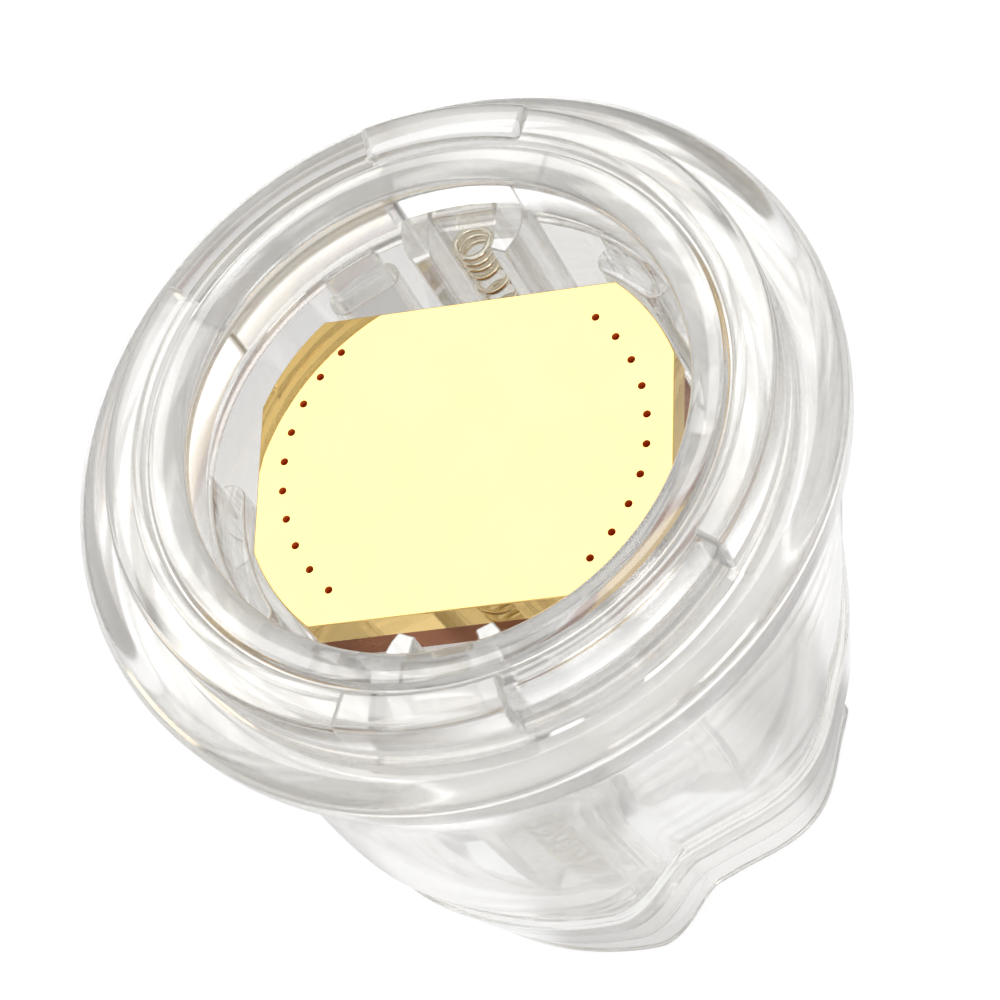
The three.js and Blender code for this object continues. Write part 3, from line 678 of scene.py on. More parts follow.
@dataclass
class FrontCap(Assembly):
    """Lip, two-fold bayonet collar and rounded flange."""

    aperture: float = 9.0
    lip: float = 10.3
    groove: float = 10.54
    collar: float = 11.1
    lug: float = 12.0
    flange: float = 13.86
    top: float = 24.3
    wall_rear: float = 22.2
    flange_top: float = 22.55
    crest: float = 21.78
    seam: float = 19.65
    shoulder: float = 21.63
    shoulder_in: float = 11.0
    bore: float = 12.1
    seam_inset: float = 0.73
    round_width: float = 0.96
    round_height: float = 0.77
    lip_rise: float = 0.15
    tab_rise: float = 0.25
    root: float = 0.3  # how far lugs and tabs reach into the ring
    edge: float = 0.22
    lug_span: Pair = (-33.0, 75.0)
    tab_span: Pair = (75.0, 105.0)
    lug_overlap: float = 2.0  # degrees that a lug reaches under its tab
    relief: tuple[Pair, ...] = ((8.5, 21.7), (9.3, 21.7), (9.3, 23.85), (8.5, 23.85))
    steps: int = 288

    def flange_side(self) -> list[Pair]:
        """Draws the flange's side, from its rear edge up to its flat top.

        Returns:
            Radius and height of each corner.
        """
        side = []
        for i in range(10):
            share = 1.0 - i / 10
            radius = self.flange - self.seam_inset * share * share
            side.append((radius, self.crest - (self.crest - self.seam) * share))
        for i in range(13):
            angle = math.pi / 2 * i / 12
            radius = self.flange - self.round_width + self.round_width * math.cos(angle)
            side.append((radius, self.crest + self.round_height * math.sin(angle)))
        return side

    def ring(self) -> bpy.types.Object:
        """Turns the cap without its lugs and tabs.

        Returns:
            The ring.
        """
        top, foot = self.top, self.flange_top
        lip, collar, groove = self.lip, self.collar, self.groove
        lip_top = top + self.lip_rise
        points = [
            (self.aperture, self.wall_rear + 0.05), (self.aperture + 0.05, self.wall_rear),
            (self.shoulder_in, self.wall_rear), (self.shoulder_in, self.shoulder),
            (self.bore, self.shoulder), (self.bore, self.seam + 0.05), (self.bore + 0.05, self.seam),
            *self.flange_side(),
            (collar + 0.12, foot), (collar + 0.03, foot + 0.04), (collar, foot + 0.13),
            (collar, top - 0.2), (collar - 0.06, top - 0.06), (collar - 0.2, top),
            (groove + 0.03, top), (groove - 0.03, top - 0.03), (groove - 0.09, top - 0.11),
            (groove - 0.16, top - 0.11), (lip + 0.01, top - 0.02), (lip - 0.02, lip_top - 0.1),
            (lip - 0.08, lip_top - 0.03), (lip - 0.2, lip_top), (9.75, lip_top - 0.04),
            (9.35, lip_top - 0.11), (9.2, top - 0.02), (9.08, top - 0.08), (9.02, top - 0.15),
            (self.aperture, top - 0.25),
        ]
        return Bench.spun("front_cap_clear", points, self.steps)

    def sector(self, inner: float, top: float, span: Pair) -> bpy.types.Object:
        """Makes one raised sector with rounded edges.

        Args:
            inner: Its inner radius.
            top: Its top face.
            span: Its first and last angle in degrees.

        Returns:
            The sector.
        """
        foot = self.flange_top - self.root
        points = [(inner, foot), (self.lug, foot), (self.lug, top), (inner, top)]
        piece = Bench.spun("sector", points, round(abs(span[1] - span[0]) / 1.25), span)
        Bench.softened(piece, self.edge, 4, 50.0)
        return piece

    def build(self) -> None:
        """Builds the cap."""
        cap = self.ring()
        for turn in (0.0, 180.0):
            span = (self.lug_span[0] + turn, self.lug_span[1] + turn + self.lug_overlap)
            Bench.combined(cap, self.sector(self.collar - self.root, self.top, span), "UNION")
            span = (self.tab_span[0] + turn, self.tab_span[1] + turn)
            Bench.combined(cap, self.sector(self.groove, self.top + self.tab_rise, span), "UNION")
            Bench.combined(cap, Bench.spun("relief", self.relief, 24, span), "DIFFERENCE")
        self.hand_over(cap, Body.HOUSING, Slot.CLEAR, ["front_cap"])


@dataclass
class LobedWalls(Assembly):
    """Tapered shell and coupling ring, both pushed out into two lobes towards the rear."""

    reach: float = 1.7
    lobe_start: float = 17.1  # height from which the lobes grow towards the rear
    growth: float = 9.0  # length over which they grow
    gentle: Pair = (5.0, 62.0)  # angles of the flank that rises slowly
    steep: Pair = (96.0, 114.0)  # angles of the flank that falls fast
    swell: float = 0.33  # share of the reach that the low swell beside a lobe has
    swell_middle: float = 142.0
    swell_half: float = 24.0
    skirt_rear: Pair = (9.0, 2.5)  # radius and height, as all the corners below
    skirt_front: Pair = (9.83, 6.0)
    taper_rear: Pair = (9.65, 6.34)
    taper_front: Pair = (12.97, 19.5)
    hollow_front: Pair = (12.1, 18.75)
    hollow_rear: Pair = (8.73, 6.1)
    skirt_bore: float = 8.5
    front: float = 19.62
    spigot: Pair = (11.2, 12.0)  # inner and outer radius
    spigot_top: float = 20.99
    ledge: Pair = (4.0, 4.6)  # rear and front face
    ledge_bore: float = 8.0
    rounding: float = 0.06
    ring_radii: Pair = (7.4, 8.4)
    ring_rounding: Pair = (0.07, 0.25)
    ring_foot: float = 0.6
    hairline: float = 0.03
    keyway: Pair = (1.2, 1.4)  # half width and height
    keyway_reach: Pair = (6.9, 10.6)
    overrun: float = 0.5
    steps: int = 256

    @staticmethod
    def eased(value: float, low: float, high: float) -> float:
        """Returns a smooth step from 0 to 1 between two values."""
        x = min(1.0, max(0.0, (value - low) / (high - low)))
        return x * x * (3.0 - 2.0 * x)

    def share(self, degrees: float) -> float:
        """Reckons how far the lobes stand out at an angle.

        Args:
            degrees: The angle round the head's axis.

        Returns:
            A share of the lobes' reach.
        """
        folded = degrees % 180.0
        gentle, steep = self.eased(folded, *self.gentle), 1.0 - self.eased(folded, *self.steep)
        off = min(1.0, abs(folded - self.swell_middle) / self.swell_half)
        return min(gentle, steep) + self.swell * (1.0 + math.cos(math.pi * off)) / 2.0

    def pushed(self, piece: bpy.types.Object) -> bpy.types.Object:
        """Pushes a turned wall out into the lobes.

        Args:
            piece: The turned wall.

        Returns:
            The same piece.
        """
        for vertex in piece.data.vertices:
            x, y, z = (value / MM for value in vertex.co)
            grown = self.eased(self.lobe_start - z, 0.0, self.growth)
            angle = math.atan2(y, x)
            radius = math.hypot(x, y) + self.reach * grown * self.share(math.degrees(angle))
            vertex.co = (radius * math.cos(angle) * MM, radius * math.sin(angle) * MM, z * MM)
        return piece

    @staticmethod
    def line(first: Pair, last: Pair, parts: int) -> list[Pair]:
        """Returns evenly spaced points from one corner to another, both included."""
        return [tuple(a + (b - a) * i / parts for a, b in zip(first, last)) for i in range(parts + 1)]

    def shell(self) -> bpy.types.Object:
        """Turns the stepped, tapered shell.

        Returns:
            The shell with its lobes.
        """
        soft, top = self.rounding, self.spigot_top
        bore, (radius, rear) = self.skirt_bore, self.skirt_rear
        step, step_height = self.skirt_front
        rim, (inner, outer) = self.taper_front[0], self.spigot
        ledge_rear, ledge_top = self.ledge
        points = [
            (bore, rear + soft), (bore + soft, rear), (radius - 0.1, rear), (radius - 0.02, rear + soft),
            *self.line((radius, rear + 0.16), self.skirt_front, 10),
            (step - 0.02, step_height + 0.07), (step - 0.08, step_height + 0.14),
            *self.line(self.taper_rear, self.taper_front, 30),
            (rim - 0.01, self.front - 0.03), (rim - 0.09, self.front),
            (outer, self.front), (outer, top - soft), (outer - soft, top),
            (inner + soft, top), (inner, top - soft), (inner, self.front),
            *self.line(self.hollow_front, self.hollow_rear, 26), (self.hollow_rear[0], ledge_top),
            (self.ledge_bore + 0.04, ledge_top), (self.ledge_bore, ledge_top - 0.04),
            (self.ledge_bore, ledge_rear), (bore, ledge_rear),
        ]
        return self.pushed(Bench.spun("housing_shell_clear", points, self.steps))

    def ring(self) -> bpy.types.Object:
        """Turns the rear coupling ring and cuts its keyways.

        Returns:
            The ring.
        """
        top, foot = self.ledge[0] - self.hairline, self.ring_foot
        (inner, outer), (near, far) = self.ring_radii, self.ring_rounding
        points = [
            (inner, far), (inner + near, near), (inner + far, 0.0),
            (outer - far, 0.0), (outer - near, near), (outer, far),
            *self.line((outer, foot), (outer, top), 6), *self.line((inner, top), (inner, foot), 6),
        ]
        ring = self.pushed(Bench.spun("coupling_ring_clear", points, self.steps))
        half, height = self.keyway
        for side in (1.0, -1.0):
            low, high = sorted(side * reach for reach in self.keyway_reach)
            keyway = Bench.block("keyway", (low, -half, -self.overrun), (high, half, height))
            Bench.combined(ring, keyway, "DIFFERENCE")
        return ring

    def build(self) -> None:
        """Builds both walls."""
        self.hand_over(self.shell(), Body.HOUSING, Slot.CLEAR, ["housing_shell"], 40.0, Gloss.SHELL)
        self.hand_over(self.ring(), Body.HOUSING, Slot.CLEAR, ["coupling_ring"], 40.0, Gloss.SHELL)


@dataclass
class Guides(Assembly):
    """Clamped ring with its curved guide walls, and the channels and seats of the side springs."""

    bore: float = 8.45
    outer: float = 9.65
    step_width: float = 0.6
    foot: float = 11.0
    step_top: float = 20.0
    step_overlap: float = 0.3
    top: float = 21.5
    hairline: float = 0.03
    web_face: float = 9.55
    ring_radii: Pair = (9.2, 11.9)
    ring_levels: Pair = (21.02, 21.6)
    ring_start: float = 0.7  # degrees, so that the ring's steps miss the walls' corners
    slot_half: float = 2.45
    slot_reach: Pair = (2.0, 10.4)
    channel_levels: Pair = (4.6, 22.2)
    overrun: float = 0.5
    spans: tuple[Pair, ...] = ((0.0, 31.0), (45.0, 57.0), (114.0, 124.0))

    @staticmethod
    def arc(middle: Pair, radius: float, span: Pair, parts: int) -> list[Pair]:
        """Returns the points of an arc about a middle point, both ends included, from angles in radians."""
        turns = [span[0] + (span[1] - span[0]) * i / parts for i in range(parts + 1)]
        return [(middle[0] + radius * math.cos(a), middle[1] + radius * math.sin(a)) for a in turns]

    def curved(self, radii: Pair, levels: Pair, span: Pair) -> bpy.types.Object:
        """Raises one curved wall with round ends and softened rims.

        Args:
            radii: Its inner and outer radius.
            levels: Its foot and top.
            span: The angles at which its ends start to round, in degrees.

        Returns:
            The wall.
        """
        first, last = (math.radians(value) for value in span)
        middle, half = sum(radii) / 2, (radii[1] - radii[0]) / 2
        parts = max(4, round((span[1] - span[0]) / 1.5))
        ends = [(middle * math.cos(angle), middle * math.sin(angle)) for angle in (first, last)]
        points = [
            *self.arc((0.0, 0.0), radii[1], (first, last), parts),
            *self.arc(ends[1], half, (last, last + math.pi), 12)[1:-1],
            *self.arc((0.0, 0.0), radii[0], (last, first), parts),
            *self.arc(ends[0], half, (first + math.pi, first + 2.0 * math.pi), 12)[1:-1],
        ]
        piece = Bench.raised("wall", points, levels)
        Bench.softened(piece, 0.1, 3, 50.0)
        return piece

    def wall(self, span: Pair) -> bpy.types.Object:
        """Makes one guide wall, stepped near its front end.

        Args:
            span: The angles at which its ends start to round, in degrees.

        Returns:
            The wall.
        """
        piece = self.curved((self.bore, self.outer), (self.foot, self.step_top), span)
        radii = (self.bore + self.step_width, self.outer - self.hairline)
        rest = self.curved(radii, (self.step_top - self.step_overlap, self.top), span)
        Bench.combined(piece, rest, "UNION")
        return piece

    def build(self) -> None:
        """Builds the guide frame and its neighbours."""
        soft, (inner, outer), (rear, front) = self.hairline, self.ring_radii, self.ring_levels
        points = [
            (inner, rear + soft), (inner + soft, rear), (outer - soft, rear), (outer, rear + soft),
            (outer, front - soft), (outer - soft, front), (inner + soft, front), (inner, front - soft),
        ]
        span = (self.ring_start, self.ring_start + 360.0)
        frame = Bench.spun("guide_frame_clear", points, 192, span)
        rear, front = rear - self.overrun, front + self.overrun
        for side in (1.0, -1.0):
            low, high = sorted(side * reach for reach in self.slot_reach)
            slot = Bench.block("slot", (-self.slot_half, low, rear), (self.slot_half, high, front))
            Bench.combined(frame, slot, "DIFFERENCE")
        for turn in (0.0, 180.0):
            for span in self.spans:
                Bench.combined(frame, self.wall((span[0] + turn, span[1] + turn)), "UNION")
        self.hand_over(frame, Body.HOUSING, Slot.CLEAR, ["guide_frame"], gloss=Gloss.POLISHED)
        low = (self.channel_levels[0] + self.hairline) * MM
        high = (self.channel_levels[1] - self.hairline) * MM
        web = (self.web_face - self.hairline) * MM
        for name in ("spring_channel_top", "spring_channel_bottom", "spring_seat_top", "spring_seat_bottom"):
            piece = Bench.copied(self.nodes[name], name + "_clear")
            for vertex in piece.data.vertices:
                vertex.co.z = min(max(vertex.co.z, low), high)
                if "seat" in name:
                    vertex.co.y = min(max(vertex.co.y, -web), web)
            Bench.softened(piece, 0.07, 3, 40.0)
            self.hand_over(piece, Body.HOUSING, Slot.CLEAR, [name], gloss=Gloss.POLISHED)


@dataclass(frozen=True)
class Coil:
    """One compression spring of round wire, with close coils at both ends."""

    outer: float  # radius over the wire
    wire: float
    levels: Pair
    turns: float  # open turns between the close coils
    closed: float  # close coils at each end
    pitch: float  # rise of each close coil
    stroke: float  # how far it is pressed together
    steps: int = 28  # steps to a turn

    def keep(self) -> float:
        """Returns the share of its length that stays at the end of the stroke."""
        length = self.levels[1] - self.levels[0]
        return (length - self.stroke) / length

    def height(self, turn: float) -> float:
        """Works out how high the wire's middle lies.

        Args:
            turn: Turns from the lower end.

        Returns:
            The height.
        """
        low, high = self.levels[0] + self.wire / 2, self.levels[1] - self.wire / 2
        dead = self.closed * self.pitch
        whole = self.turns + 2.0 * self.closed
        if turn < self.closed:
            return low + dead * turn / self.closed
        if turn > whole - self.closed:
            return high - dead * (whole - turn) / self.closed
        return low + dead + (high - low - 2.0 * dead) * (turn - self.closed) / self.turns

    def path(self, at: Pair) -> list[Triple]:
        """Lists the points that the wire's middle runs through.

        Args:
            at: Place of the spring's axis.

        Returns:
            The points, from the lower end up.
        """
        radius = self.outer - self.wire / 2
        points = []
        for i in range(round((self.turns + 2.0 * self.closed) * self.steps) + 1):
            turn = i / self.steps
            angle = 2.0 * math.pi * turn
            x, y = at[0] + radius * math.cos(angle), at[1] + radius * math.sin(angle)
            points.append((x, y, self.height(turn)))
        return points


@dataclass
class CoilSprings(Assembly):
    """The two side springs beside the plate and the needle return spring."""

    side_at: float = 8.55
    side: Coil = Coil(0.8, 0.25, (6.1, 21.15), 12.0, 3.0, 0.4, 3.1)
    middle: Coil = Coil(2.8, 0.35, (9.8, 18.3), 5.0, 1.5, 0.38, 3.2)

    @staticmethod
    def wound(name: str, at: Pair, coil: Coil) -> bpy.types.Object:
        """Winds one spring as a round wire along a smooth path.

        Args:
            name: Name of the spring.
            at: Place of its axis.
            coil: Its sizes.

        Returns:
            The spring as a mesh.
        """
        path = coil.path(at)
        curve = bpy.data.curves.new(name, "CURVE")
        curve.dimensions, curve.use_fill_caps = "3D", True
        curve.bevel_depth, curve.bevel_resolution = coil.wire / 2 * MM, 3
        strand = curve.splines.new("POLY")
        strand.points.add(len(path) - 1)
        for point, place in zip(strand.points, path):
            point.co = (*(value * MM for value in place), 1.0)
        piece = bpy.data.objects.new(name, curve)
        bpy.context.scene.collection.objects.link(piece)
        Bench.take(piece)
        bpy.ops.object.convert(target="MESH")
        bpy.ops.object.mode_set(mode="EDIT")
        bpy.ops.mesh.select_all(action="SELECT")
        bpy.ops.mesh.remove_doubles(threshold=CLOSE)
        bpy.ops.mesh.normals_make_consistent(inside=False)
        bpy.ops.object.mode_set(mode="OBJECT")
        return bpy.context.object

    def build(self) -> None:
        """Winds the three springs."""
        seat, keep = self.side.levels[1], self.side.keep()
        for name, y in (("return_spring_top", self.side_at), ("return_spring_bottom", -self.side_at)):
            spring = self.wound(name + "_wound", (0.0, y), self.side)
            self.hand_over(spring, Body.HOUSING, Slot.SPRING, [name], 60.0)
            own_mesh(spring)
        seat, keep = self.middle.levels[1], self.middle.keep()
        spring = self.wound("needle_return_spring_wound", (0.0, 0.0), self.middle)
        self.hand_over(spring, Body.CARRIAGE, Slot.SPRING, ["needle_return_spring"], 60.0)
        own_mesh(spring)


@dataclass(frozen=True)
class Slab:
    """A disc cut by four flats, with a hole for each needle where it has a hole radius."""

    radius: float
    half: Pair  # half widths along X and Y
    levels: Pair
    edge: float
    hole: float = 0.0


@dataclass
class Carriage(Assembly):
    """Gold plate, its backing, the clear sleeve and the bush; the backing's dark copper-brown is painted
    shade that stands in for the shadowed reflection under the plate's edge.
    """

    plate: Slab = Slab(8.05, (7.53, 6.0), (19.8, 21.1), 0.05, 0.145)
    backing: Slab = Slab(7.9, (7.38, 5.85), (18.3, 19.8), 0.08, 0.145)
    outside: Slab = Slab(8.15, (9.0, 6.0), (4.9, 18.27), 0.1)
    inside: Slab = Slab(7.3, (9.0, 5.15), (6.1, 18.8), 0.05)
    circle: float = 6.6
    row_count: int = 10
    half_fan: float = 45.0
    ear_at: float = 8.45
    ear: float = 0.95
    post_at: float = 8.55
    post: float = 0.45
    post_levels: Pair = (6.0, 7.2)
    bush_hole: float = 2.3
    overrun: float = 0.5

    def places(self) -> list[Pair]:
        """Works out where the needles stand, in two arcs.

        Returns:
            The needles' places, one arc after the other.
        """
        found = []
        for row in (0.0, 180.0):
            for i in range(self.row_count):
                angle = math.radians(row + self.half_fan * (2.0 * i / (self.row_count - 1.0) - 1.0))
                found.append((self.circle * math.cos(angle), self.circle * math.sin(angle)))
        return found

    def slab(self, name: str, size: Slab) -> bpy.types.Object:
        """Cuts a flatted disc and drills the needle holes.

        Args:
            name: Name of the new piece.
            size: The slab's sizes.

        Returns:
            The slab.
        """
        slab = Bench.rod(name, (0.0, 0.0), size.radius, size.levels, 256)
        for side in (1.0, -1.0):
            Bench.sliced(slab, (side * size.half[0], 0.0, 0.0), (side, 0.0, 0.0))
            Bench.sliced(slab, (0.0, side * size.half[1], 0.0), (0.0, side, 0.0))
        Bench.softened(slab, size.edge, 2, 40.0)
        if size.hole > 0.0:
            span = (size.levels[0] - self.overrun, size.levels[1] + self.overrun)
            drills = [Bench.rod("drill", at, size.hole, span, 24) for at in self.places()]
            Bench.clear()
            for drill in drills:
                drill.select_set(True)
            bpy.context.view_layer.objects.active = drills[0]
            bpy.ops.object.join()
            Bench.combined(slab, bpy.context.object, "DIFFERENCE")
        return slab

    def paint_hole_reflection(self, plate: bpy.types.Object) -> None:
        """Paints the walls of the needle holes a deep orange-red, a painted reflection that stands in for
        the gold's interreflection inside them.

        Args:
            plate: The gold plate, already in its own finish.
        """
        plate.data.materials.append(self.finishes.hole_painted_reflection)
        spots = [Vector((x * MM, y * MM)) for x, y in self.places()]
        for face in plate.data.polygons:
            if abs(face.normal.z) < 0.5:
                near = min((face.center.xy - spot).length for spot in spots)
                face.material_index = 1 if near < 1.2 * self.plate.hole * MM else 0

    def sleeve(self) -> bpy.types.Object:
        """Makes the clear sleeve behind the plate, with its ears and their posts.

        Returns:
            The sleeve.
        """
        body = self.slab("carriage_frame_clear", self.outside)
        rear, wall = self.outside.levels[0], self.inside.levels[0]
        for side in (1.0, -1.0):
            ear = Bench.rod("ear", (0.0, side * self.ear_at), self.ear, (rear, wall), 48)
            Bench.combined(body, ear, "UNION")
            low, high = sorted((side * (self.outside.half[1] - self.overrun), side * self.ear_at))
            Bench.combined(body, Bench.block("ear", (-self.ear, low, rear), (self.ear, high, wall)), "UNION")
            post = Bench.rod("post", (0.0, side * self.post_at), self.post, self.post_levels, 24)
            Bench.combined(body, post, "UNION")
        Bench.combined(body, self.slab("inside", self.inside), "DIFFERENCE")
        span = (rear - self.overrun, wall + self.overrun)
        Bench.combined(body, Bench.rod("bush_hole", (0.0, 0.0), self.bush_hole, span, 64), "DIFFERENCE")
        return body

    def build(self) -> None:
        """Builds the carriage."""
        plate = self.slab("guide_plate_gold", self.plate)
        self.hand_over(plate, Body.CARRIAGE, Slot.GOLD_PLATE, ["guide_plate"])
        self.paint_hole_reflection(plate)
        backing = self.slab("plate_backing_painted_shade", self.backing)
        self.hand_over(backing, Body.CARRIAGE, Slot.COPPER, ["plate_backing"])
        self.hand_over(self.sleeve(), Body.CARRIAGE, Slot.CLEAR, ["carriage_frame"], gloss=Gloss.POLISHED)
        bush = Bench.copied(self.nodes["stem_bush"], "stem_bush_white")
        Bench.softened(bush, 0.08, 3, 40.0)
        self.hand_over(bush, Body.CARRIAGE, Slot.WHITE, ["stem_bush"])


@dataclass
class NeedleSet(Assembly):
    """Needle block, clamp, drive stem and the twenty needles."""

    places: Sequence[Pair] = ()
    head: float = 0.26
    head_levels: Pair = (13.2, 13.5)
    head_rounding: float = 0.04
    shaft: float = 0.1
    tip: float = 20.9
    # Radius of each corner of the point, and how far it lies below the tip
    tip_corners: tuple[Pair, ...] = ((0.1, 0.9), (0.075, 0.6), (0.035, 0.22), (0.008, 0.02), (0.0, 0.0))

    def needle(self) -> bpy.types.Object:
        """Turns one needle on the head's axis, head down.

        Returns:
            The needle, to copy from.
        """
        soft, (rear, front) = self.head_rounding, self.head_levels
        points = [
            (0.0, rear), (self.head - soft, rear), (self.head, rear + soft),
            (self.head, front - soft), (self.head - soft, front), (self.shaft, front),
            *((radius, self.tip - below) for radius, below in self.tip_corners),
        ]
        return Bench.spun("needle", points, 14)

    def build(self) -> None:
        """Builds the needle set."""
        rows = (("needle_block", Slot.WHITE), ("needle_clamp", Slot.BRASS), ("drive_stem", Slot.WHITE))
        for name, slot in rows:
            piece = Bench.copied(self.nodes[name], name + "_fine")
            Bench.softened(piece, 0.06, 2, 40.0)
            self.hand_over(piece, Body.NEEDLE_SET, slot, [name])
        first = self.needle()
        for i, (x, y) in enumerate(self.places, start=1):
            name = f"needle_{i:02d}"
            piece = bpy.data.objects.new(name + "_fine", first.data.copy())
            bpy.context.scene.collection.objects.link(piece)
            piece.data.transform(Matrix.Translation((x * MM, y * MM, 0.0)))
            self.hand_over(piece, Body.NEEDLE_SET, Slot.GOLD_NEEDLE, [name])
        bpy.data.objects.remove(first, do_unlink=True)


@dataclass(frozen=True)
class Lamp:
    """One square soft lamp that faces the head."""

    name: str
    at: Triple  # metres
    size: float  # its side, in metres
    level: float  # brightness that its face adds to the pale tent
    tint: Triple = (1.0, 1.0, 1.0)

    def hang(self) -> None:
        """Hangs the lamp and turns it to the head."""
        data = bpy.data.lights.new(self.name, "AREA")
        data.shape, data.size, data.color = "SQUARE", self.size, self.tint
        data.energy = self.level * math.pi * self.size * self.size
        lamp = bpy.data.objects.new(self.name, data)
        bpy.context.scene.collection.objects.link(lamp)
        lamp.location = self.at
        lamp.visible_camera = False
        aim = Vector((0.0, 0.0, 0.02)) - Vector(self.at)
        lamp.rotation_euler = aim.to_track_quat("-Z", "Y").to_euler()


@dataclass
class Studio:
    """Floor, lamps, world and the camera at the photograph's viewpoint."""

    camera_at: Triple = (0.04495, -0.07238, 0.14677)
    right: Triple = (0.94955, 0.03005, -0.31218)
    up: Triple = (0.12088, 0.88342, 0.45271)
    back: Triple = (0.28939, -0.46761, 0.83522)
    lens_mm: float = 159.36
    sensor_mm: float = 36.0
    floor_size: float = 2.0
    floor_drop: float = 0.0001
    floor_pale: float = 0.95
    floor_glow: float = 0.8  # share of glow that the camera sees
    floor_white: float = 1.13  # its strength
    floor_strips: int = 5  # bright strips that gloss sees
    strip_edge: Pair = (-0.5, 0.5)
    strip_levels: Pair = (0.0, 0.85)
    floor_glow_through: float = 0.85  # share of glow that clear plastic sees
    ambient: float = 0.8
    overhead: float = 0.82  # the tent's brightness at the top
    horizon: float = 0.12
    gap: float = 0.2  # between the panels
    panels: int = 3
    panel_edge: Pair = (-0.6, 0.6)
    roof_heights: Pair = (0.5, 0.78)
    wall_heights: Pair = (0.0, 0.5)
    through: float = 0.3  # least brightness that clear plastic sees
    light_path: int = 32
    lamps: tuple[Lamp, ...] = (
        Lamp("overhead_softbox", (-0.134, 0.2165, 0.397), 0.14, 1.48),
        Lamp("side_lamp", (0.3, -0.2, 0.25), 0.12, 3.4),
        Lamp("edge_lamp", (0.16, -0.27, 0.2), 0.1, 2.0),
        Lamp("warm_card", (-0.36, -0.06, 0.06), 0.12, 3.0, (1.0, 0.8, 0.5)),
    )

    def camera(self) -> None:
        """Sets the camera that took the photograph."""
        data = bpy.data.cameras.new("camera")
        data.lens, data.sensor_width = self.lens_mm, self.sensor_mm
        data.clip_start, data.clip_end = 0.005, 10.0
        eye = bpy.data.objects.new("camera", data)
        bpy.context.scene.collection.objects.link(eye)
        turn = Matrix((self.right, self.up, self.back)).transposed().to_4x4()
        eye.matrix_world = Matrix.Translation(self.camera_at) @ turn
        bpy.context.scene.camera = eye

    @staticmethod
    def eased(
        tree: bpy.types.NodeTree,
        source: bpy.types.NodeSocket,
        span: Pair,
        levels: Pair,
    ) -> bpy.types.NodeSocket:
        """Maps a value smoothly from a span onto two levels.

        Args:
            tree: The node tree.
            source: The value.
            span: Where the change starts and ends.
            levels: Level at the start and at the end.

        Returns:
            The mapped value's socket.
        """
        ramp = tree.nodes.new("ShaderNodeMapRange")
        ramp.interpolation_type = "SMOOTHSTEP"
        ramp.inputs["From Min"].default_value, ramp.inputs["From Max"].default_value = span
        ramp.inputs["To Min"].default_value, ramp.inputs["To Max"].default_value = levels
        tree.links.new(source, ramp.inputs["Value"])
        return ramp.outputs["Result"]

    @staticmethod
    def reckoned(
        tree: bpy.types.NodeTree,
        how: str,
        first: bpy.types.NodeSocket,
        second: bpy.types.NodeSocket | float,
    ) -> bpy.types.NodeSocket:
        """Joins two values by one sum.

        Args:
            tree: The node tree.
            how: The sum's name.
            first: The first value.
            second: The second value, a socket or a number.

        Returns:
            The result's socket.
        """
        node = tree.nodes.new("ShaderNodeMath")
        node.operation = how
        tree.links.new(first, node.inputs[0])
        if isinstance(second, float):
            node.inputs[1].default_value = second
        else:
            tree.links.new(second, node.inputs[1])
        return node.outputs[0]

    def around(
        self, tree: bpy.types.NodeTree, space: str, waves: int
    ) -> tuple[bpy.types.NodeSocket, bpy.types.NodeSocket]:
        """Makes a value that rises and falls round the upright axis.

        Args:
            tree: The node tree.
            space: The coordinates that it reads.
            waves: How often it rises and falls in a whole turn.

        Returns:
            The value's socket, and that of the height.
        """
        place = tree.nodes.new("ShaderNodeTexCoord")
        parts = tree.nodes.new("ShaderNodeSeparateXYZ")
        tree.links.new(place.outputs[space], parts.inputs[0])
        angle = self.reckoned(tree, "ARCTAN2", parts.outputs["Y"], parts.outputs["X"])
        angle = self.reckoned(tree, "MULTIPLY", angle, float(waves))
        return self.reckoned(tree, "SINE", angle, 0.0), parts.outputs["Z"]

    def tent(self, tree: bpy.types.NodeTree) -> bpy.types.NodeSocket:
        """Works out the brightness of a tent of soft panels, with gaps between them and a dark horizon.

        Args:
            tree: The world's node tree.

        Returns:
            The socket with the brightness.
        """
        wave, height = self.around(tree, "Generated", self.panels)
        side = self.eased(tree, wave, self.panel_edge, (self.gap, 1.0))
        roof = self.eased(tree, height, self.roof_heights, (0.0, 1.0))
        panels = self.reckoned(tree, "MAXIMUM", side, roof)
        lift = self.eased(tree, height, self.wall_heights, (self.horizon, self.overhead))
        return self.reckoned(tree, "MULTIPLY", panels, lift)

    def world(self) -> None:
        """Sets soft light all round, white for the camera and a pale tent for metal and plastic."""
        world = bpy.data.worlds.new("studio")
        bpy.context.scene.world = world
        world.use_nodes = True
        tree = world.node_tree
        ground = tree.nodes["Background"]
        ground.inputs["Color"].default_value = (1.0, 1.0, 1.0, 1.0)
        ground.inputs["Strength"].default_value = self.ambient
        path = tree.nodes.new("ShaderNodeLightPath")
        before = ground.outputs[0]
        tent = self.tent(tree)
        paler = self.eased(tree, tent, (0.0, 1.0), (self.through, 1.0))
        rows = (("Is Glossy Ray", tent), ("Is Transmission Ray", paler), ("Is Camera Ray", None))
        for kind, level in rows:
            seen = tree.nodes.new("ShaderNodeBackground")
            seen.inputs["Color"].default_value = (1.0, 1.0, 1.0, 1.0)
            if level is not None:
                tree.links.new(level, seen.inputs["Strength"])
            mix = tree.nodes.new("ShaderNodeMixShader")
            tree.links.new(path.outputs[kind], mix.inputs["Fac"])
            tree.links.new(before, mix.inputs[1])
            tree.links.new(seen.outputs[0], mix.inputs[2])
            before = mix.outputs[0]
        tree.links.new(before, tree.nodes["World Output"].inputs["Surface"])

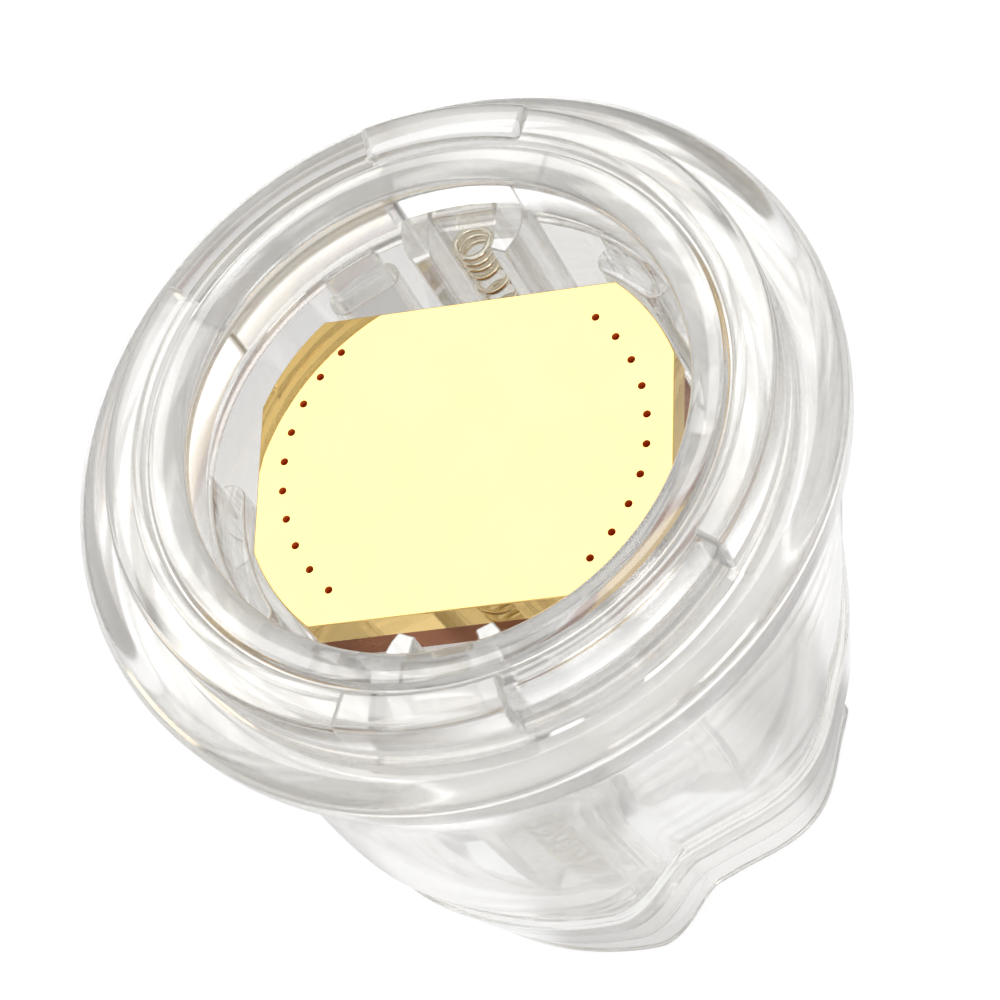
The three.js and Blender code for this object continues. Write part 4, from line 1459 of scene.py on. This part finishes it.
    def floor(self) -> None:
        """Lays a pale floor, white where the camera sees it, that keeps the head's shadow."""
        Bench.clear()
        bpy.ops.mesh.primitive_plane_add(size=self.floor_size, location=(0.0, 0.0, -self.floor_drop))
        floor = bpy.context.object
        floor.name = "floor"
        material = bpy.data.materials.new("floor_paper")
        material.use_nodes = True
        tree = material.node_tree
        paper = tree.nodes["Principled BSDF"]
        paper.inputs["Base Color"].default_value = (self.floor_pale, self.floor_pale, self.floor_pale, 1.0)
        paper.inputs["Roughness"].default_value = 0.9
        paper.inputs["Specular IOR Level"].default_value = 0.0
        path = tree.nodes.new("ShaderNodeLightPath")
        before = paper.outputs[0]
        wave, _ = self.around(tree, "Object", self.floor_strips)
        strips = self.eased(tree, wave, self.strip_edge, self.strip_levels)
        for kind, share, strength in (
            ("Is Glossy Ray", strips, 1.0),
            ("Is Transmission Ray", self.floor_glow_through, 1.0),
            ("Is Camera Ray", self.floor_glow, self.floor_white),
        ):
            glow = tree.nodes.new("ShaderNodeEmission")
            glow.inputs["Strength"].default_value = strength
            mix = tree.nodes.new("ShaderNodeMixShader")
            part = self.reckoned(tree, "MULTIPLY", path.outputs[kind], share)
            tree.links.new(part, mix.inputs["Fac"])
            tree.links.new(before, mix.inputs[1])
            tree.links.new(glow.outputs[0], mix.inputs[2])
            before = mix.outputs[0]
        tree.links.new(before, tree.nodes["Material Output"].inputs["Surface"])
        floor.data.materials.append(material)

    def build(self) -> None:
        """Sets the whole studio."""
        bpy.context.scene.view_settings.view_transform = "Standard"
        for limit in ("max_bounces", "glossy_bounces", "transmission_bounces"):
            setattr(bpy.context.scene.cycles, limit, self.light_path)
        self.camera()
        self.world()
        self.floor()
        for lamp in self.lamps:
            lamp.hang()
        LOG.info("studio: camera, floor, world and %d lamps", len(self.lamps))


def main() -> None:
    """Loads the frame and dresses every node."""
    logging.basicConfig(level=logging.INFO, format="%(name)s: %(message)s")
    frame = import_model()
    Studio().build()
    finishes = Finishes()
    slot_of = {row["node"]: Slot(row["material_slot"]) for row in frame["record"]["subparts"]}
    nodes = frame["nodes"]
    for name, node in nodes.items():
        finishes.dress(node, slot_of[name])
    FrontCap(nodes, finishes).build()
    LobedWalls(nodes, finishes).build()
    Guides(nodes, finishes).build()
    CoilSprings(nodes, finishes).build()
    carriage = Carriage(nodes, finishes)
    carriage.build()
    NeedleSet(nodes, finishes, carriage.places()).build()


if __name__ == "__main__":
    main()
